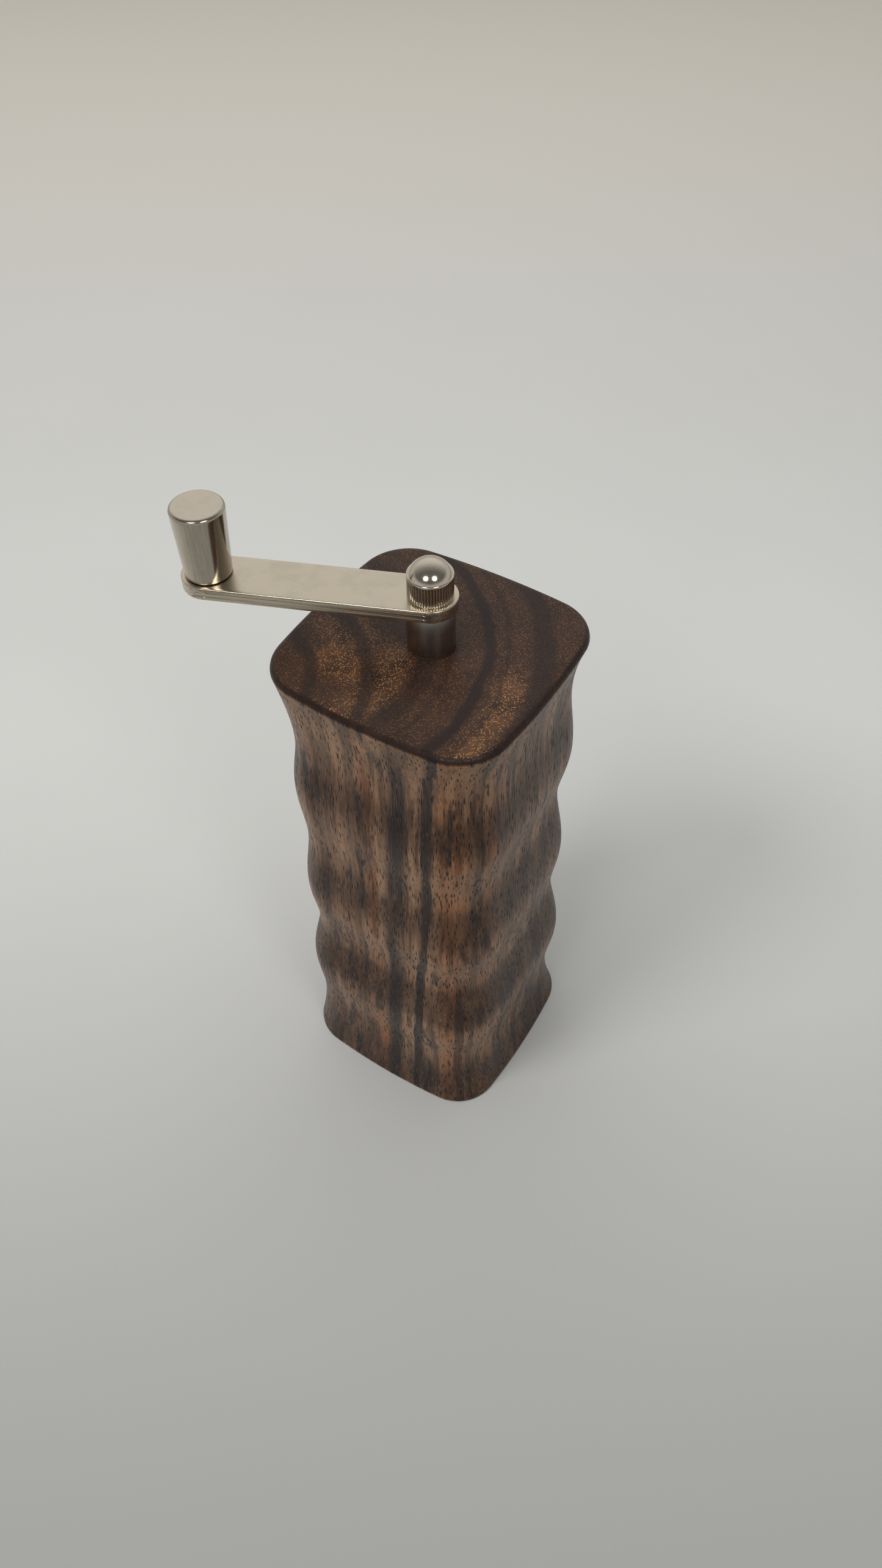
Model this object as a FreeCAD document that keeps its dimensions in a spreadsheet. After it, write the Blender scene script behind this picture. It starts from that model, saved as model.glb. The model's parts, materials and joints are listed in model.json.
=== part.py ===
import FreeCAD
import Part

import math
import os

import Sketcher

# Hand-cranked burr coffee grinder, in millimetres, +Z up.
# The origin is the centre of the base, on the drive shaft's axis; the block's faces look along X and Y.

SIZES = {
    # walnut block
    "body_height": 174.3,
    "depth_ratio": 0.98,
    "side_radius": 230,
    "corner_radius": 14.6,
    "lean_azimuth": 40.6,
    "rim_round": 2.0,
    "foot_round": 0.8,
    "bay_radius": 25.0,
    "bay_top": 49.0,
    "hopper_radius": 19.0,
    "hopper_top": 164.0,
    # top bearing and the stack above it
    "shaft_radius": 3.5,
    "running_clearance": 0.05,
    "bush_radius": 5.55,
    "bush_bottom": 165.0,
    "bush_flange_radius": 6.2,
    "bush_flange_height": 1.0,
    "thrust_washer_height": 0.4,
    "sleeve_radius": 6.35,
    "sleeve_top": 187.2,
    # crank
    "arm_width": 14.3,
    "arm_thickness": 3.6,
    "arm_length": 57.05,
    "arm_azimuth": 202.7,
    "square_size": 5.4,
    # adjusting nut
    "nut_radius": 5.92,
    "nut_grip_height": 6.75,
    "nut_collar_round": 0.35,
    "nut_dome_height": 3.65,
    "nut_bore_depth": 7.7,
    "knurl_count": 48,
    "knurl_depth": 0.22,
    # handle
    "handle_gap": 0.3,
    "handle_height": 19.8,
    "handle_foot_radius": 6.1,
    "handle_top_radius": 6.95,
    "handle_round": 1.0,
    "handle_bore_radius": 4.15,
    "handle_roof": 2.9,
    "pin_radius": 2.5,
    "pin_head_radius": 3.75,
    "pin_height": 19.4,
    "clip_height": 0.6,
    "clip_radius": 3.8,
    "clip_groove_radius": 2.0,
    # drive shaft below the arm
    "square_bottom": 185.0,
    "square_top": 190.3,
    "thread_radius": 2.5,
    "thread_top": 196.5,
    "shaft_shoulder": 56.0,
    "shaft_bottom": 39.4,
    "drive_flat": 2.0,
    # burr cartridge
    "ring_radius": 24.8,
    "ring_bottom": 44.0,
    "ring_bore_radius": 19.1,
    "screw_circle_radius": 22.0,
    "screw_radius": 1.5,
    "screw_head_radius": 2.9,
    "screw_head_height": 1.7,
    "screw_length": 14.0,
    "screw_sink": 0.3,
    "carrier_radius": 18.9,
    "carrier_flange_radius": 21.0,
    "carrier_bottom": 41.0,
    "carrier_top": 68.0,
    "carrier_bore_radius": 17.0,
    "exit_radius": 15.5,
    "burr_seat": 46.0,
    "burr_waist": 50.0,
    "burr_top": 62.0,
    "outer_burr_radius": 16.9,
    "key_radius": 1.0,
    "key_bottom": 54.0,
    "spider_height": 4.0,
    "spider_opening_radius": 14.5,
    "hub_radius": 6.0,
    "hub_bore_radius": 4.5,
    "spider_arm_width": 4.5,
    "circlip_height": 1.1,
    "circlip_inner_radius": 15.2,
    "circlip_outer_radius": 17.7,
    # inner burr and its fastening
    "inner_burr_bottom": 44.5,
    "inner_burr_waist": 49.0,
    "foot_ring_radius": 14.35,
    "waist_ring_radius": 13.1,
    "nose_ring_radius": 6.8,
    "tooth_depth": 1.2,
    "burr_washer_height": 0.6,
    "burr_nut_flats": 8.0,
    "burr_nut_height": 4.0,
    "spring_washer_radius": 6.0,
    "spring_washer_height": 0.5,
    "spring_radius": 4.7,
    "spring_wire_radius": 0.5,
    "spring_turns": 3.0,
    # grounds cup
    "cup_radius": 24.75,
    "cup_wall": 1.8,
    "cup_bottom": 0.6,
    "cup_top": 38.0,
    "cup_recess_top": 13.4,
    "cup_floor": 1.6,
    "cup_web": 6.0,
    "seal_height": 30.0,
    "seal_radius": 24.4,
    "seal_wire_radius": 0.5,
}

# The waves of the block, from foot to rim: height, half width, sideways lean and tilt in degrees.
WAVES = [
    ("foot", 0.8, 35.7, 0.0, 0.0),
    ("first_valley", 24.1, 33.1, -0.6, 0.0),
    ("first_crest", 43.9, 34.8, -0.1, 0.0),
    ("second_valley", 67.1, 32.3, -0.25, 3.0),
    ("second_crest", 85.8, 33.9, -0.15, 2.7),
    ("third_valley", 110.1, 32.1, -0.55, 4.9),
    ("third_crest", 130.7, 33.9, 0.15, 3.3),
    ("fourth_valley", 151.3, 32.6, 0.15, 6.0),
    ("rim", 172.3, 35.25, 0.0, 0.0),
]

# Steps of the loft from one wave to the next.
STEPS = 3

BURR_TEETH = 16

document = FreeCAD.newDocument("coffee_grinder")
sheet = document.addObject("Spreadsheet::Sheet", "Sizes")
PARTS = []


def vector(x=0.0, y=0.0, z=0.0):
    return FreeCAD.Vector(x, y, z)


def fill_sheet():
    """Write every driving size to the sheet, one row each, with its name as the alias."""
    rows = dict(SIZES)
    for wave, height, half_width, lean, tilt in WAVES:
        rows[wave + "_height"] = height
        rows[wave + "_half_width"] = half_width
        rows[wave + "_lean"] = lean
        rows[wave + "_tilt"] = tilt
    for row, (name, value) in enumerate(rows.items(), start=1):
        sheet.set(f"A{row}", name)
        sheet.set(f"B{row}", str(value))
        sheet.setAlias(f"B{row}", name)
    document.recompute()


def expression(text):
    """Put the sheet's name before every alias in an expression."""
    words = []
    for word in text.split():
        bare = word.strip("()")
        known = bare in SIZES or any(bare.startswith(wave[0] + "_") for wave in WAVES)
        words.append(word.replace(bare, "Sizes." + bare) if known else word)
    return " ".join(words)


def value(text):
    """The number that an expression of aliases gives."""
    return float(sheet.evalExpression(expression(text)))


def bind(item, name, text):
    item.setExpression(name, expression(text))


def check(item):
    if "Invalid" in item.State or "Error" in item.State:
        raise RuntimeError(f"{item.Label} failed: {item.State}")


# ---------------------------------------------------------------- bodies, sketches and features


def new_body(label):
    body = document.addObject("PartDesign::Body", label)
    body.Label = label
    PARTS.append(body)
    return body


def new_sketch(body, name, role, height="0"):
    """An empty sketch on one of the body's own origin planes, raised along its normal."""
    sketch = body.newObject("Sketcher::SketchObject", name)
    plane = next(item for item in body.Origin.OriginFeatures if item.Role == role)
    sketch.AttachmentSupport = [(plane, "")]
    sketch.MapMode = "FlatFace"
    if height != "0":
        bind(sketch, "AttachmentOffset.Base.z", height)
    return sketch


def pin_point(sketch, shape, end, x, y):
    """Fix a point of a sketch at x and y, both expressions."""
    for kind, text, axis in (("DistanceX", x, -2), ("DistanceY", y, -1)):
        number = value(text)
        if abs(number) < 1e-9:
            sketch.addConstraint(Sketcher.Constraint("PointOnObject", shape, end, axis))
            continue
        index = sketch.addConstraint(Sketcher.Constraint(kind, -1, 1, shape, end, number))
        bind(sketch, f"Constraints[{index}]", text)


def arc_between(start, end, radius):
    """The arc of a signed radius from start to end: positive turns left, negative turns right."""
    middle = (start + end) * 0.5
    chord = end - start
    left = vector(-chord.y, chord.x).normalize()
    reach = math.sqrt(max(radius * radius - chord.Length ** 2 / 4, 0.0))
    centre = middle + left * math.copysign(reach, radius)
    first, last = (start, end) if radius > 0 else (end, start)
    angles = [math.atan2(point.y - centre.y, point.x - centre.x) for point in (first, last)]
    if angles[1] < angles[0]:
        angles[1] += 2 * math.pi
    circle = Part.Circle(centre, vector(z=1), abs(radius))
    return Part.ArcOfCircle(circle, angles[0], angles[1])


def draw_outline(sketch, corners):
    """A closed outline of (x, y) or (x, y, radius) corners; a radius makes the next side an arc."""
    points = [vector(value(corner[0]), value(corner[1])) for corner in corners]
    sides = []
    for index, corner in enumerate(corners):
        start, end = points[index], points[(index + 1) % len(points)]
        if len(corner) == 2:
            sides.append((sketch.addGeometry(Part.LineSegment(start, end)), 1, 2))
            continue
        radius = value(corner[2])
        shape = sketch.addGeometry(arc_between(start, end, radius))
        sides.append((shape, 1, 2) if radius > 0 else (shape, 2, 1))
    for index, side in enumerate(sides):
        following = sides[(index + 1) % len(sides)]
        sketch.addConstraint(
            Sketcher.Constraint("Coincident", side[0], side[2], following[0], following[1])
        )
    for (shape, start, _), corner in zip(sides, corners):
        pin_point(sketch, shape, start, corner[0], corner[1])
        if len(corner) == 3:
            radius = abs(value(corner[2]))
            index = sketch.addConstraint(Sketcher.Constraint("Radius", shape, radius))
            bind(sketch, f"Constraints[{index}]", f"abs( {corner[2]} )")


def draw_circle(sketch, x, y, radius):
    centre = vector(value(x), value(y))
    shape = sketch.addGeometry(Part.Circle(centre, vector(z=1), value(radius)))
    pin_point(sketch, shape, 3, x, y)
    index = sketch.addConstraint(Sketcher.Constraint("Radius", shape, value(radius)))
    bind(sketch, f"Constraints[{index}]", radius)


def finish_feature(body, feature, adds):
    """Recompute and make sure that the feature really added or removed material."""
    previous = feature.BaseFeature.Shape.Volume if feature.BaseFeature else 0.0
    document.recompute()
    check(feature)
    change = feature.Shape.Volume - previous
    if (change > 0) != adds:
        raise RuntimeError(f"{feature.Label} changed the volume by {change:.3f}")
    body.Tip = feature
    return feature


def revolve(body, name, corners, kind="Revolution"):
    """Turn an outline of (radius, height) corners about the body's own vertical axis."""
    sketch = new_sketch(body, name + "_outline", "XZ_Plane")
    draw_outline(sketch, corners)
    feature = body.newObject("PartDesign::" + kind, name)
    feature.Profile = sketch
    feature.ReferenceAxis = (sketch, ["V_Axis"])
    feature.Angle = 360
    return finish_feature(body, feature, kind == "Revolution")


def extrude(body, name, sketch, length, kind="Pad", upward=True):
    """Pad or pocket a sketch along its normal (upward) or against it."""
    feature = body.newObject("PartDesign::" + kind, name)
    feature.Profile = sketch
    bind(feature, "Length", length)
    feature.Reversed = upward if kind == "Pocket" else not upward
    return finish_feature(body, feature, kind == "Pad")


def repeat(body, name, original, count):
    """Repeat a feature evenly about the body's vertical axis."""
    pattern = body.newObject("PartDesign::PolarPattern", name)
    axis = next(item for item in body.Origin.OriginFeatures if item.Role == "Z_Axis")
    pattern.Originals = [original]
    pattern.Axis = (axis, [""])
    pattern.Angle = 360
    pattern.Occurrences = count
    body.Tip = pattern
    document.recompute()
    check(pattern)
    return pattern


def loft(body, name, sketches, kind="AdditiveLoft", ruled=False):
    feature = body.newObject("PartDesign::" + kind, name)
    feature.Profile = sketches[0]
    feature.Sections = sketches[1:]
    feature.Ruled = ruled
    return finish_feature(body, feature, kind == "AdditiveLoft")


def level_edges(shape, height):
    """The names of the edges that lie at one height."""
    names = []
    for index, edge in enumerate(shape.Edges, start=1):
        box = edge.BoundBox
        if abs(box.ZMin - height) < 1e-3 and abs(box.ZMax - height) < 1e-3:
            names.append(f"Edge{index}")
    return names


def turned_part(label, corners):
    body = new_body(label)
    revolve(body, "turning", corners)
    return body


def ring_part(label, inner, outer, bottom, top):
    """A plain turned ring between two radii and two heights."""
    return turned_part(label, [(inner, bottom), (outer, bottom), (outer, top), (inner, top)])


def on_handle_axis(item):
    """Stand a part on the handle's axis, at the far end of the crank arm."""
    bind(item, "Placement.Base.x", "arm_length * cos( arm_azimuth )")
    bind(item, "Placement.Base.y", "arm_length * sin( arm_azimuth )")


# ---------------------------------------------------------------- walnut block


def draw_block_section(sketch, half_width, inset="0"):
    """A square with gently bulging sides and round corners: eight tangent arcs, inset evenly."""
    across = f"( {half_width} ) - {inset}"
    along = f"( {half_width} ) * depth_ratio - {inset}"
    radii = [f"side_radius - {inset}", f"corner_radius - {inset}"]
    side, corner = value(radii[0]), value(radii[1])
    right = vector(value(across) - side, 0)
    back = vector(0, value(along) - side)
    span = back - right
    inward = vector(-span.y, span.x).normalize()
    reach = math.sqrt((side - corner) ** 2 - span.Length ** 2 / 4)
    centre = (right + back) * 0.5 + inward * reach
    if centre.x < 0:
        centre = (right + back) * 0.5 - inward * reach
    low = math.atan2(centre.y, centre.x - right.x)
    high = math.atan2(centre.y - back.y, centre.x)
    turn = math.pi
    arcs = [
        (right, side, -low, low),
        (centre, corner, low, high),
        (back, side, high, turn - high),
        (vector(-centre.x, centre.y), corner, turn - high, turn - low),
        (vector(-right.x, 0), side, turn - low, turn + low),
        (vector(-centre.x, -centre.y), corner, turn + low, turn + high),
        (vector(0, -back.y), side, turn + high, 2 * turn - high),
        (vector(centre.x, -centre.y), corner, 2 * turn - high, 2 * turn - low),
    ]
    for middle, radius, start, end in arcs:
        sketch.addGeometry(Part.ArcOfCircle(Part.Circle(middle, vector(z=1), radius), start, end))
    for index in range(8):
        sketch.addConstraint(Sketcher.Constraint("Tangent", index, 2, (index + 1) % 8, 1))
        radius = radii[index % 2]
        number = sketch.addConstraint(Sketcher.Constraint("Radius", index, value(radius)))
        bind(sketch, f"Constraints[{number}]", radius)
    pin_point(sketch, 0, 3, f"{across} - ( {radii[0]} )", "0")
    pin_point(sketch, 2, 3, "0", f"{along} - ( {radii[0]} )")
    pin_point(sketch, 4, 3, f"{radii[0]} - ( {across} )", "0")
    pin_point(sketch, 6, 3, "0", f"{radii[0]} - ( {along} )")


def block_section(body, name, height, half_width, lean="0", tilt="0", inset="0"):
    """One section of the block, leant and tilted towards the lean azimuth."""
    sketch = new_sketch(body, name, "XY_Plane", height)
    bind(sketch, "AttachmentOffset.Base.x", f"( {lean} ) * cos( lean_azimuth )")
    bind(sketch, "AttachmentOffset.Base.y", f"( {lean} ) * sin( lean_azimuth )")
    if value(tilt):
        azimuth = math.radians(value("lean_azimuth"))
        offset = sketch.AttachmentOffset
        axis = vector(math.sin(azimuth), -math.cos(azimuth))
        offset.Rotation = FreeCAD.Rotation(axis, value(tilt))
        sketch.AttachmentOffset = offset
        bind(sketch, "AttachmentOffset.Rotation.Angle", f"( {tilt} ) * 1 deg")
    draw_block_section(sketch, half_width, inset)
    return sketch


def wave_share(step, index):
    """How far a width has gone to the next wave: a half cosine, or a parabola at the two ends."""
    along = step / STEPS
    if index == 0:
        return 1 - (1 - along) ** 2
    if index == len(WAVES) - 2:
        return along**2
    return (1 - math.cos(math.pi * along)) / 2


def wave_sections(body):
    """The block's sections from foot to rim: every wave, and the steps between two waves."""
    names = [wave[0] for wave in WAVES]
    sections = []
    for index, (wave, following) in enumerate(zip(names, names[1:])):
        for step in range(STEPS):
            along, share = step / STEPS, wave_share(step, index)
            sizes = [
                f"{wave}_{size} + {amount:.6f} * ( {following}_{size} - {wave}_{size} )"
                for size, amount in (
                    ("height", along),
                    ("half_width", share),
                    ("lean", share),
                    ("tilt", share),
                )
            ]
            sections.append(block_section(body, f"{wave}_section_{step}", *sizes))
    sections.append(block_section(body, "rim_section", "rim_height", "rim_half_width"))
    return sections


def ease_edge(body, wave, radius, side):
    """Round an end of the block: sections inset along a quarter circle, above or below it."""
    sections = []
    for step in range(4):
        angle = 30 * step
        height = f"{wave}_height + {side} * {radius} * sin( {angle} )"
        inset = f"{radius} * ( 1 - cos( {angle} ) )"
        name = f"{wave}_ease_{step}"
        sections.append(block_section(body, name, height, wave + "_half_width", inset=inset))
    document.recompute()
    return loft(body, wave + "_ease", sections)


def build_body_block():
    """The block: lofted through its waves, eased at rim and foot, and bored from below."""
    body = new_body("body_block")
    sections = wave_sections(body)
    document.recompute()
    loft(body, "waves", sections)
    ease_edge(body, "rim", "rim_round", 1)
    ease_edge(body, "foot", "foot_round", -1)
    recess = "body_height - bush_flange_height"
    revolve(
        body,
        "bores",
        [
            ("0", "-1"),
            ("bay_radius", "-1"),
            ("bay_radius", "bay_top"),
            ("hopper_radius", "bay_top"),
            ("hopper_radius", "hopper_top"),
            ("bush_radius + running_clearance", "hopper_top"),
            ("bush_radius + running_clearance", recess),
            ("bush_flange_radius + 0.1", recess),
            ("bush_flange_radius + 0.1", "body_height + 1"),
            ("0", "body_height + 1"),
        ],
        kind="Groove",
    )
    pilot = new_sketch(body, "pilot_outline", "XY_Plane", "bay_top")
    draw_circle(pilot, "screw_circle_radius", "0", "screw_radius + running_clearance")
    hole = extrude(body, "pilot_hole", pilot, "screw_length - 3", kind="Pocket")
    repeat(body, "pilot_holes", hole, 3)


# ---------------------------------------------------------------- top bearing, sleeve, crank and nut


def build_top_bearing():
    """The flanged bush in the block's top, the washer on it and the tall sleeve under the arm."""
    bore = "shaft_radius + running_clearance"
    recess = "body_height - bush_flange_height"
    turned_part(
        "top_bush",
        [
            (bore, "bush_bottom"),
            ("bush_radius", "bush_bottom"),
            ("bush_radius", recess),
            ("bush_flange_radius", recess),
            ("bush_flange_radius", "body_height"),
            (bore, "body_height"),
        ],
    )
    seat = "body_height + thrust_washer_height"
    ring_part("thrust_washer", bore, "bush_flange_radius", "body_height", seat)
    ring_part("spacer_sleeve", bore, "sleeve_radius", seat, "sleeve_top")


def draw_slot(sketch, length, width):
    """A slot about the X axis from the origin: two straight sides and two half circles."""
    reach, half = value(length), value(width) / 2
    quarter = math.pi / 2
    sketch.addGeometry(Part.LineSegment(vector(reach, half), vector(0, half)))
    near = Part.Circle(vector(), vector(z=1), half)
    sketch.addGeometry(Part.ArcOfCircle(near, quarter, 3 * quarter))
    sketch.addGeometry(Part.LineSegment(vector(0, -half), vector(reach, -half)))
    far = Part.Circle(vector(reach), vector(z=1), half)
    sketch.addGeometry(Part.ArcOfCircle(far, -quarter, quarter))
    for index in range(4):
        sketch.addConstraint(Sketcher.Constraint("Tangent", index, 2, (index + 1) % 4, 1))
    sketch.addConstraint(Sketcher.Constraint("Coincident", 1, 3, -1, 1))
    pin_point(sketch, 3, 3, length, "0")
    number = sketch.addConstraint(Sketcher.Constraint("Radius", 1, half))
    bind(sketch, f"Constraints[{number}]", f"{width} / 2")
    sketch.addConstraint(Sketcher.Constraint("Equal", 1, 3))


def draw_square(sketch, size):
    half, minus = f"( {size} ) / 2", f"-1 * ( {size} ) / 2"
    draw_outline(sketch, [(minus, minus), (half, minus), (half, half), (minus, half)])


def build_crank_arm():
    """The flat arm: a square hole for the shaft at one end, a countersunk pin hole at the other."""
    body = new_body("crank_arm")
    bind(body, "Placement.Base.z", "sleeve_top")
    placement = body.Placement
    placement.Rotation = FreeCAD.Rotation(vector(z=1), value("arm_azimuth"))
    body.Placement = placement
    outline = new_sketch(body, "arm_outline", "XY_Plane")
    draw_slot(outline, "arm_length", "arm_width")
    extrude(body, "plate", outline, "arm_thickness")
    square = new_sketch(body, "square_outline", "XY_Plane")
    draw_square(square, "square_size + 2 * running_clearance")
    extrude(body, "square_hole", square, "arm_thickness", kind="Pocket")
    pin = new_sketch(body, "pin_outline", "XY_Plane")
    draw_circle(pin, "arm_length", "0", "pin_radius + running_clearance")
    hole = extrude(body, "pin_hole", pin, "arm_thickness", kind="Pocket")
    mouth = [
        name
        for name in level_edges(hole.Shape, 0.0)
        if hole.Shape.getElement(name).Length < 2 * math.pi * value("pin_head_radius")
        and hole.Shape.getElement(name).Curve.TypeId == "Part::GeomCircle"
    ]
    countersink = body.newObject("PartDesign::Chamfer", "countersink")
    countersink.Base = (hole, mouth)
    bind(countersink, "Size", "pin_head_radius - pin_radius")
    document.recompute()
    check(countersink)
    body.Tip = countersink


def build_adjusting_nut():
    """The domed nut on the shaft's thread, straight-knurled round its grip."""
    body = new_body("adjusting_nut")
    bind(body, "Placement.Base.z", "sleeve_top + arm_thickness")
    shoulder = "nut_grip_height - nut_collar_round"
    inner = "nut_radius - nut_collar_round"
    dome = "( ( nut_radius - nut_collar_round ) ^ 2 + nut_dome_height ^ 2 ) / ( 2 * nut_dome_height )"
    bore = "thread_radius + running_clearance"
    revolve(
        body,
        "turning",
        [
            (bore, "0"),
            ("nut_radius", "0"),
            ("nut_radius", shoulder, "nut_collar_round"),
            (inner, "nut_grip_height", dome),
            ("0", "nut_grip_height + nut_dome_height"),
            ("0", "nut_bore_depth"),
            (bore, "nut_bore_depth"),
        ],
    )
    notch = new_sketch(body, "knurl_outline", "XY_Plane")
    half_angle = "90 / knurl_count"
    outer = f"( nut_radius + 0.05 ) * cos( {half_angle} )"
    side = f"( nut_radius + 0.05 ) * sin( {half_angle} )"
    draw_outline(
        notch,
        [("nut_radius - knurl_depth", "0"), (outer, f"-1 * {side}"), (outer, side)],
    )
    cut = extrude(body, "knurl", notch, "nut_grip_height - 0.8", kind="Pocket")
    repeat(body, "knurls", cut, int(value("knurl_count")))


# ---------------------------------------------------------------- handle


def build_handle():
    """The tapered shell on its plastic bush, turning on a pin that a clip holds in place."""
    underside = "sleeve_top + arm_thickness + handle_gap"
    top = "sleeve_top + arm_thickness + handle_gap + handle_height"
    pin_top = "sleeve_top + pin_height"
    groove = "sleeve_top + pin_height - 1.4"
    shell = turned_part(
        "handle_shell",
        [
            ("handle_bore_radius", underside),
            ("handle_foot_radius", underside),
            ("handle_top_radius", f"{top} - handle_round", "handle_round"),
            ("handle_top_radius - handle_round", top),
            ("0", top),
            ("0", f"{top} - handle_roof"),
            ("handle_bore_radius", f"{top} - handle_roof"),
        ],
    )
    bush = ring_part(
        "handle_bush",
        "pin_radius + running_clearance",
        "handle_bore_radius - running_clearance",
        "sleeve_top + arm_thickness",
        f"{groove} - 0.1",
    )
    pin = turned_part(
        "handle_pin",
        [
            ("0", "sleeve_top"),
            ("pin_head_radius - running_clearance", "sleeve_top"),
            ("pin_radius", "sleeve_top + pin_head_radius - pin_radius"),
            ("pin_radius", groove),
            ("clip_groove_radius", groove),
            ("clip_groove_radius", f"{groove} + clip_height + 0.1"),
            ("pin_radius", f"{groove} + clip_height + 0.1"),
            ("pin_radius", pin_top),
            ("0", pin_top),
        ],
    )
    clip = new_body("handle_clip")
    bind(clip, "Placement.Base.z", f"{groove} + 0.05")
    outline = new_sketch(clip, "clip_outline", "XY_Plane")
    draw_circle(outline, "0", "0", "clip_radius")
    extrude(clip, "disc", outline, "clip_height")
    seat = new_sketch(clip, "seat_outline", "XY_Plane")
    bore = "clip_groove_radius + running_clearance"
    draw_circle(seat, "0", "0", bore)
    extrude(clip, "seat", seat, "clip_height", kind="Pocket")
    mouth = new_sketch(clip, "mouth_outline", "XY_Plane")
    half = f"0.8 * ( {bore} )"
    draw_outline(
        mouth,
        [
            (f"-1 * {half}", "0"),
            (half, "0"),
            (half, "clip_radius + 1"),
            (f"-1 * {half}", "clip_radius + 1"),
        ],
    )
    extrude(clip, "mouth", mouth, "clip_height", kind="Pocket")
    for item in (shell, bush, pin, clip):
        on_handle_axis(item)


# ---------------------------------------------------------------- drive shaft and what it carries


def build_drive_shaft():
    """The shaft: squared and threaded at its head, flatted and threaded at its foot."""
    body = new_body("drive_shaft")
    revolve(
        body,
        "turning",
        [
            ("0", "shaft_bottom"),
            ("thread_radius", "shaft_bottom"),
            ("thread_radius", "shaft_shoulder"),
            ("shaft_radius", "shaft_shoulder"),
            ("shaft_radius", "square_top"),
            ("thread_radius", "square_top"),
            ("thread_radius", "thread_top"),
            ("0", "thread_top"),
        ],
    )
    flats = new_sketch(body, "square_outline", "XY_Plane", "square_bottom")
    turn = value("arm_azimuth") - 180
    flats.AttachmentOffset = FreeCAD.Placement(
        flats.AttachmentOffset.Base, FreeCAD.Rotation(vector(z=1), turn)
    )
    draw_square(flats, "square_size")
    draw_circle(flats, "0", "0", "shaft_radius + 1.5")
    extrude(body, "square", flats, "square_top - square_bottom", kind="Pocket")
    flat = new_sketch(body, "flat_outline", "XY_Plane", "inner_burr_bottom")
    draw_outline(
        flat,
        [
            ("drive_flat", "-1 * shaft_radius"),
            ("shaft_radius", "-1 * shaft_radius"),
            ("shaft_radius", "shaft_radius"),
            ("drive_flat", "shaft_radius"),
        ],
    )
    extrude(body, "drive_flat_cut", flat, "shaft_shoulder - inner_burr_bottom", kind="Pocket")


def star(radius, depth, twist):
    """The corners of a toothed ring: each tooth has a steep face and a long back."""
    corners = []
    pitch = 360.0 / BURR_TEETH
    for tooth in range(BURR_TEETH):
        for reach, share in ((radius, 0.0), (f"{radius} - {depth}", 0.3)):
            angle = f"( {twist} + {pitch * (tooth + share)} )"
            corners.append((f"( {reach} ) * cos{angle}", f"( {reach} ) * sin{angle}"))
    return corners


def toothed_sketch(body, name, height, radius, depth, twist):
    sketch = new_sketch(body, name, "XY_Plane", height)
    draw_outline(sketch, star(radius, depth, twist))
    return sketch


def build_inner_burr():
    """The cone: helical teeth that turn fine towards its foot, and a flatted bore."""
    body = new_body("inner_burr")
    levels = [
        ("foot", "inner_burr_bottom", "foot_ring_radius", "0.5 * tooth_depth", 0.0),
        ("waist", "inner_burr_waist", "waist_ring_radius", "tooth_depth", 14.0),
        ("nose", "shaft_shoulder", "nose_ring_radius", "tooth_depth", 44.0),
    ]
    sketches = []
    for name, height, radius, depth, twist in levels:
        sketches.append(toothed_sketch(body, name + "_teeth", height, radius, depth, twist))
    document.recompute()
    loft(body, "cone", sketches, ruled=True)
    bore = new_sketch(body, "bore_outline", "XY_Plane", "inner_burr_bottom")
    radius = "thread_radius + running_clearance"
    flat = "drive_flat + running_clearance"
    half_chord = f"sqrt( ( {radius} ) ^ 2 - ( {flat} ) ^ 2 )"
    draw_outline(
        bore,
        [
            (flat, f"-1 * {half_chord}"),
            (flat, half_chord, radius),
            (f"-1 * ( {radius} )", "0", radius),
        ],
    )
    extrude(body, "bore", bore, "shaft_shoulder - inner_burr_bottom", kind="Pocket")


def build_outer_burr():
    """The fixed ring round the cone, toothed inside and notched for its two keys."""
    body = new_body("outer_burr")
    revolve(
        body,
        "turning",
        [
            ("foot_ring_radius + 1.1", "burr_seat"),
            ("outer_burr_radius", "burr_seat"),
            ("outer_burr_radius", "burr_top"),
            ("spider_opening_radius - 3", "burr_top"),
            ("spider_opening_radius - 3", "burr_waist"),
        ],
    )
    funnel = [
        ("foot_teeth", "burr_seat", "foot_ring_radius - 0.05", "-0.4", 0.0),
        ("waist_teeth", "burr_waist", "foot_ring_radius - 0.9", "-1 * tooth_depth", -12.0),
        ("mouth_teeth", "burr_top", "foot_ring_radius - 2.4", "-1 * tooth_depth", -30.0),
    ]
    sketches = []
    for name, height, radius, depth, twist in funnel:
        sketches.append(toothed_sketch(body, name, height, radius, depth, twist))
    document.recompute()
    loft(body, "grinding_face", sketches, kind="SubtractiveLoft", ruled=True)
    cut_key_notches(body, "burr_top - key_bottom")


def cut_key_notches(body, length):
    """Two half-round notches across the joint between the outer burr and its carrier."""
    outline = new_sketch(body, "key_outline", "XY_Plane", "key_bottom")
    draw_circle(outline, "outer_burr_radius", "0", "key_radius + running_clearance")
    notch = extrude(body, "key_notch", outline, length, kind="Pocket")
    repeat(body, "key_notches", notch, 2)


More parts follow.
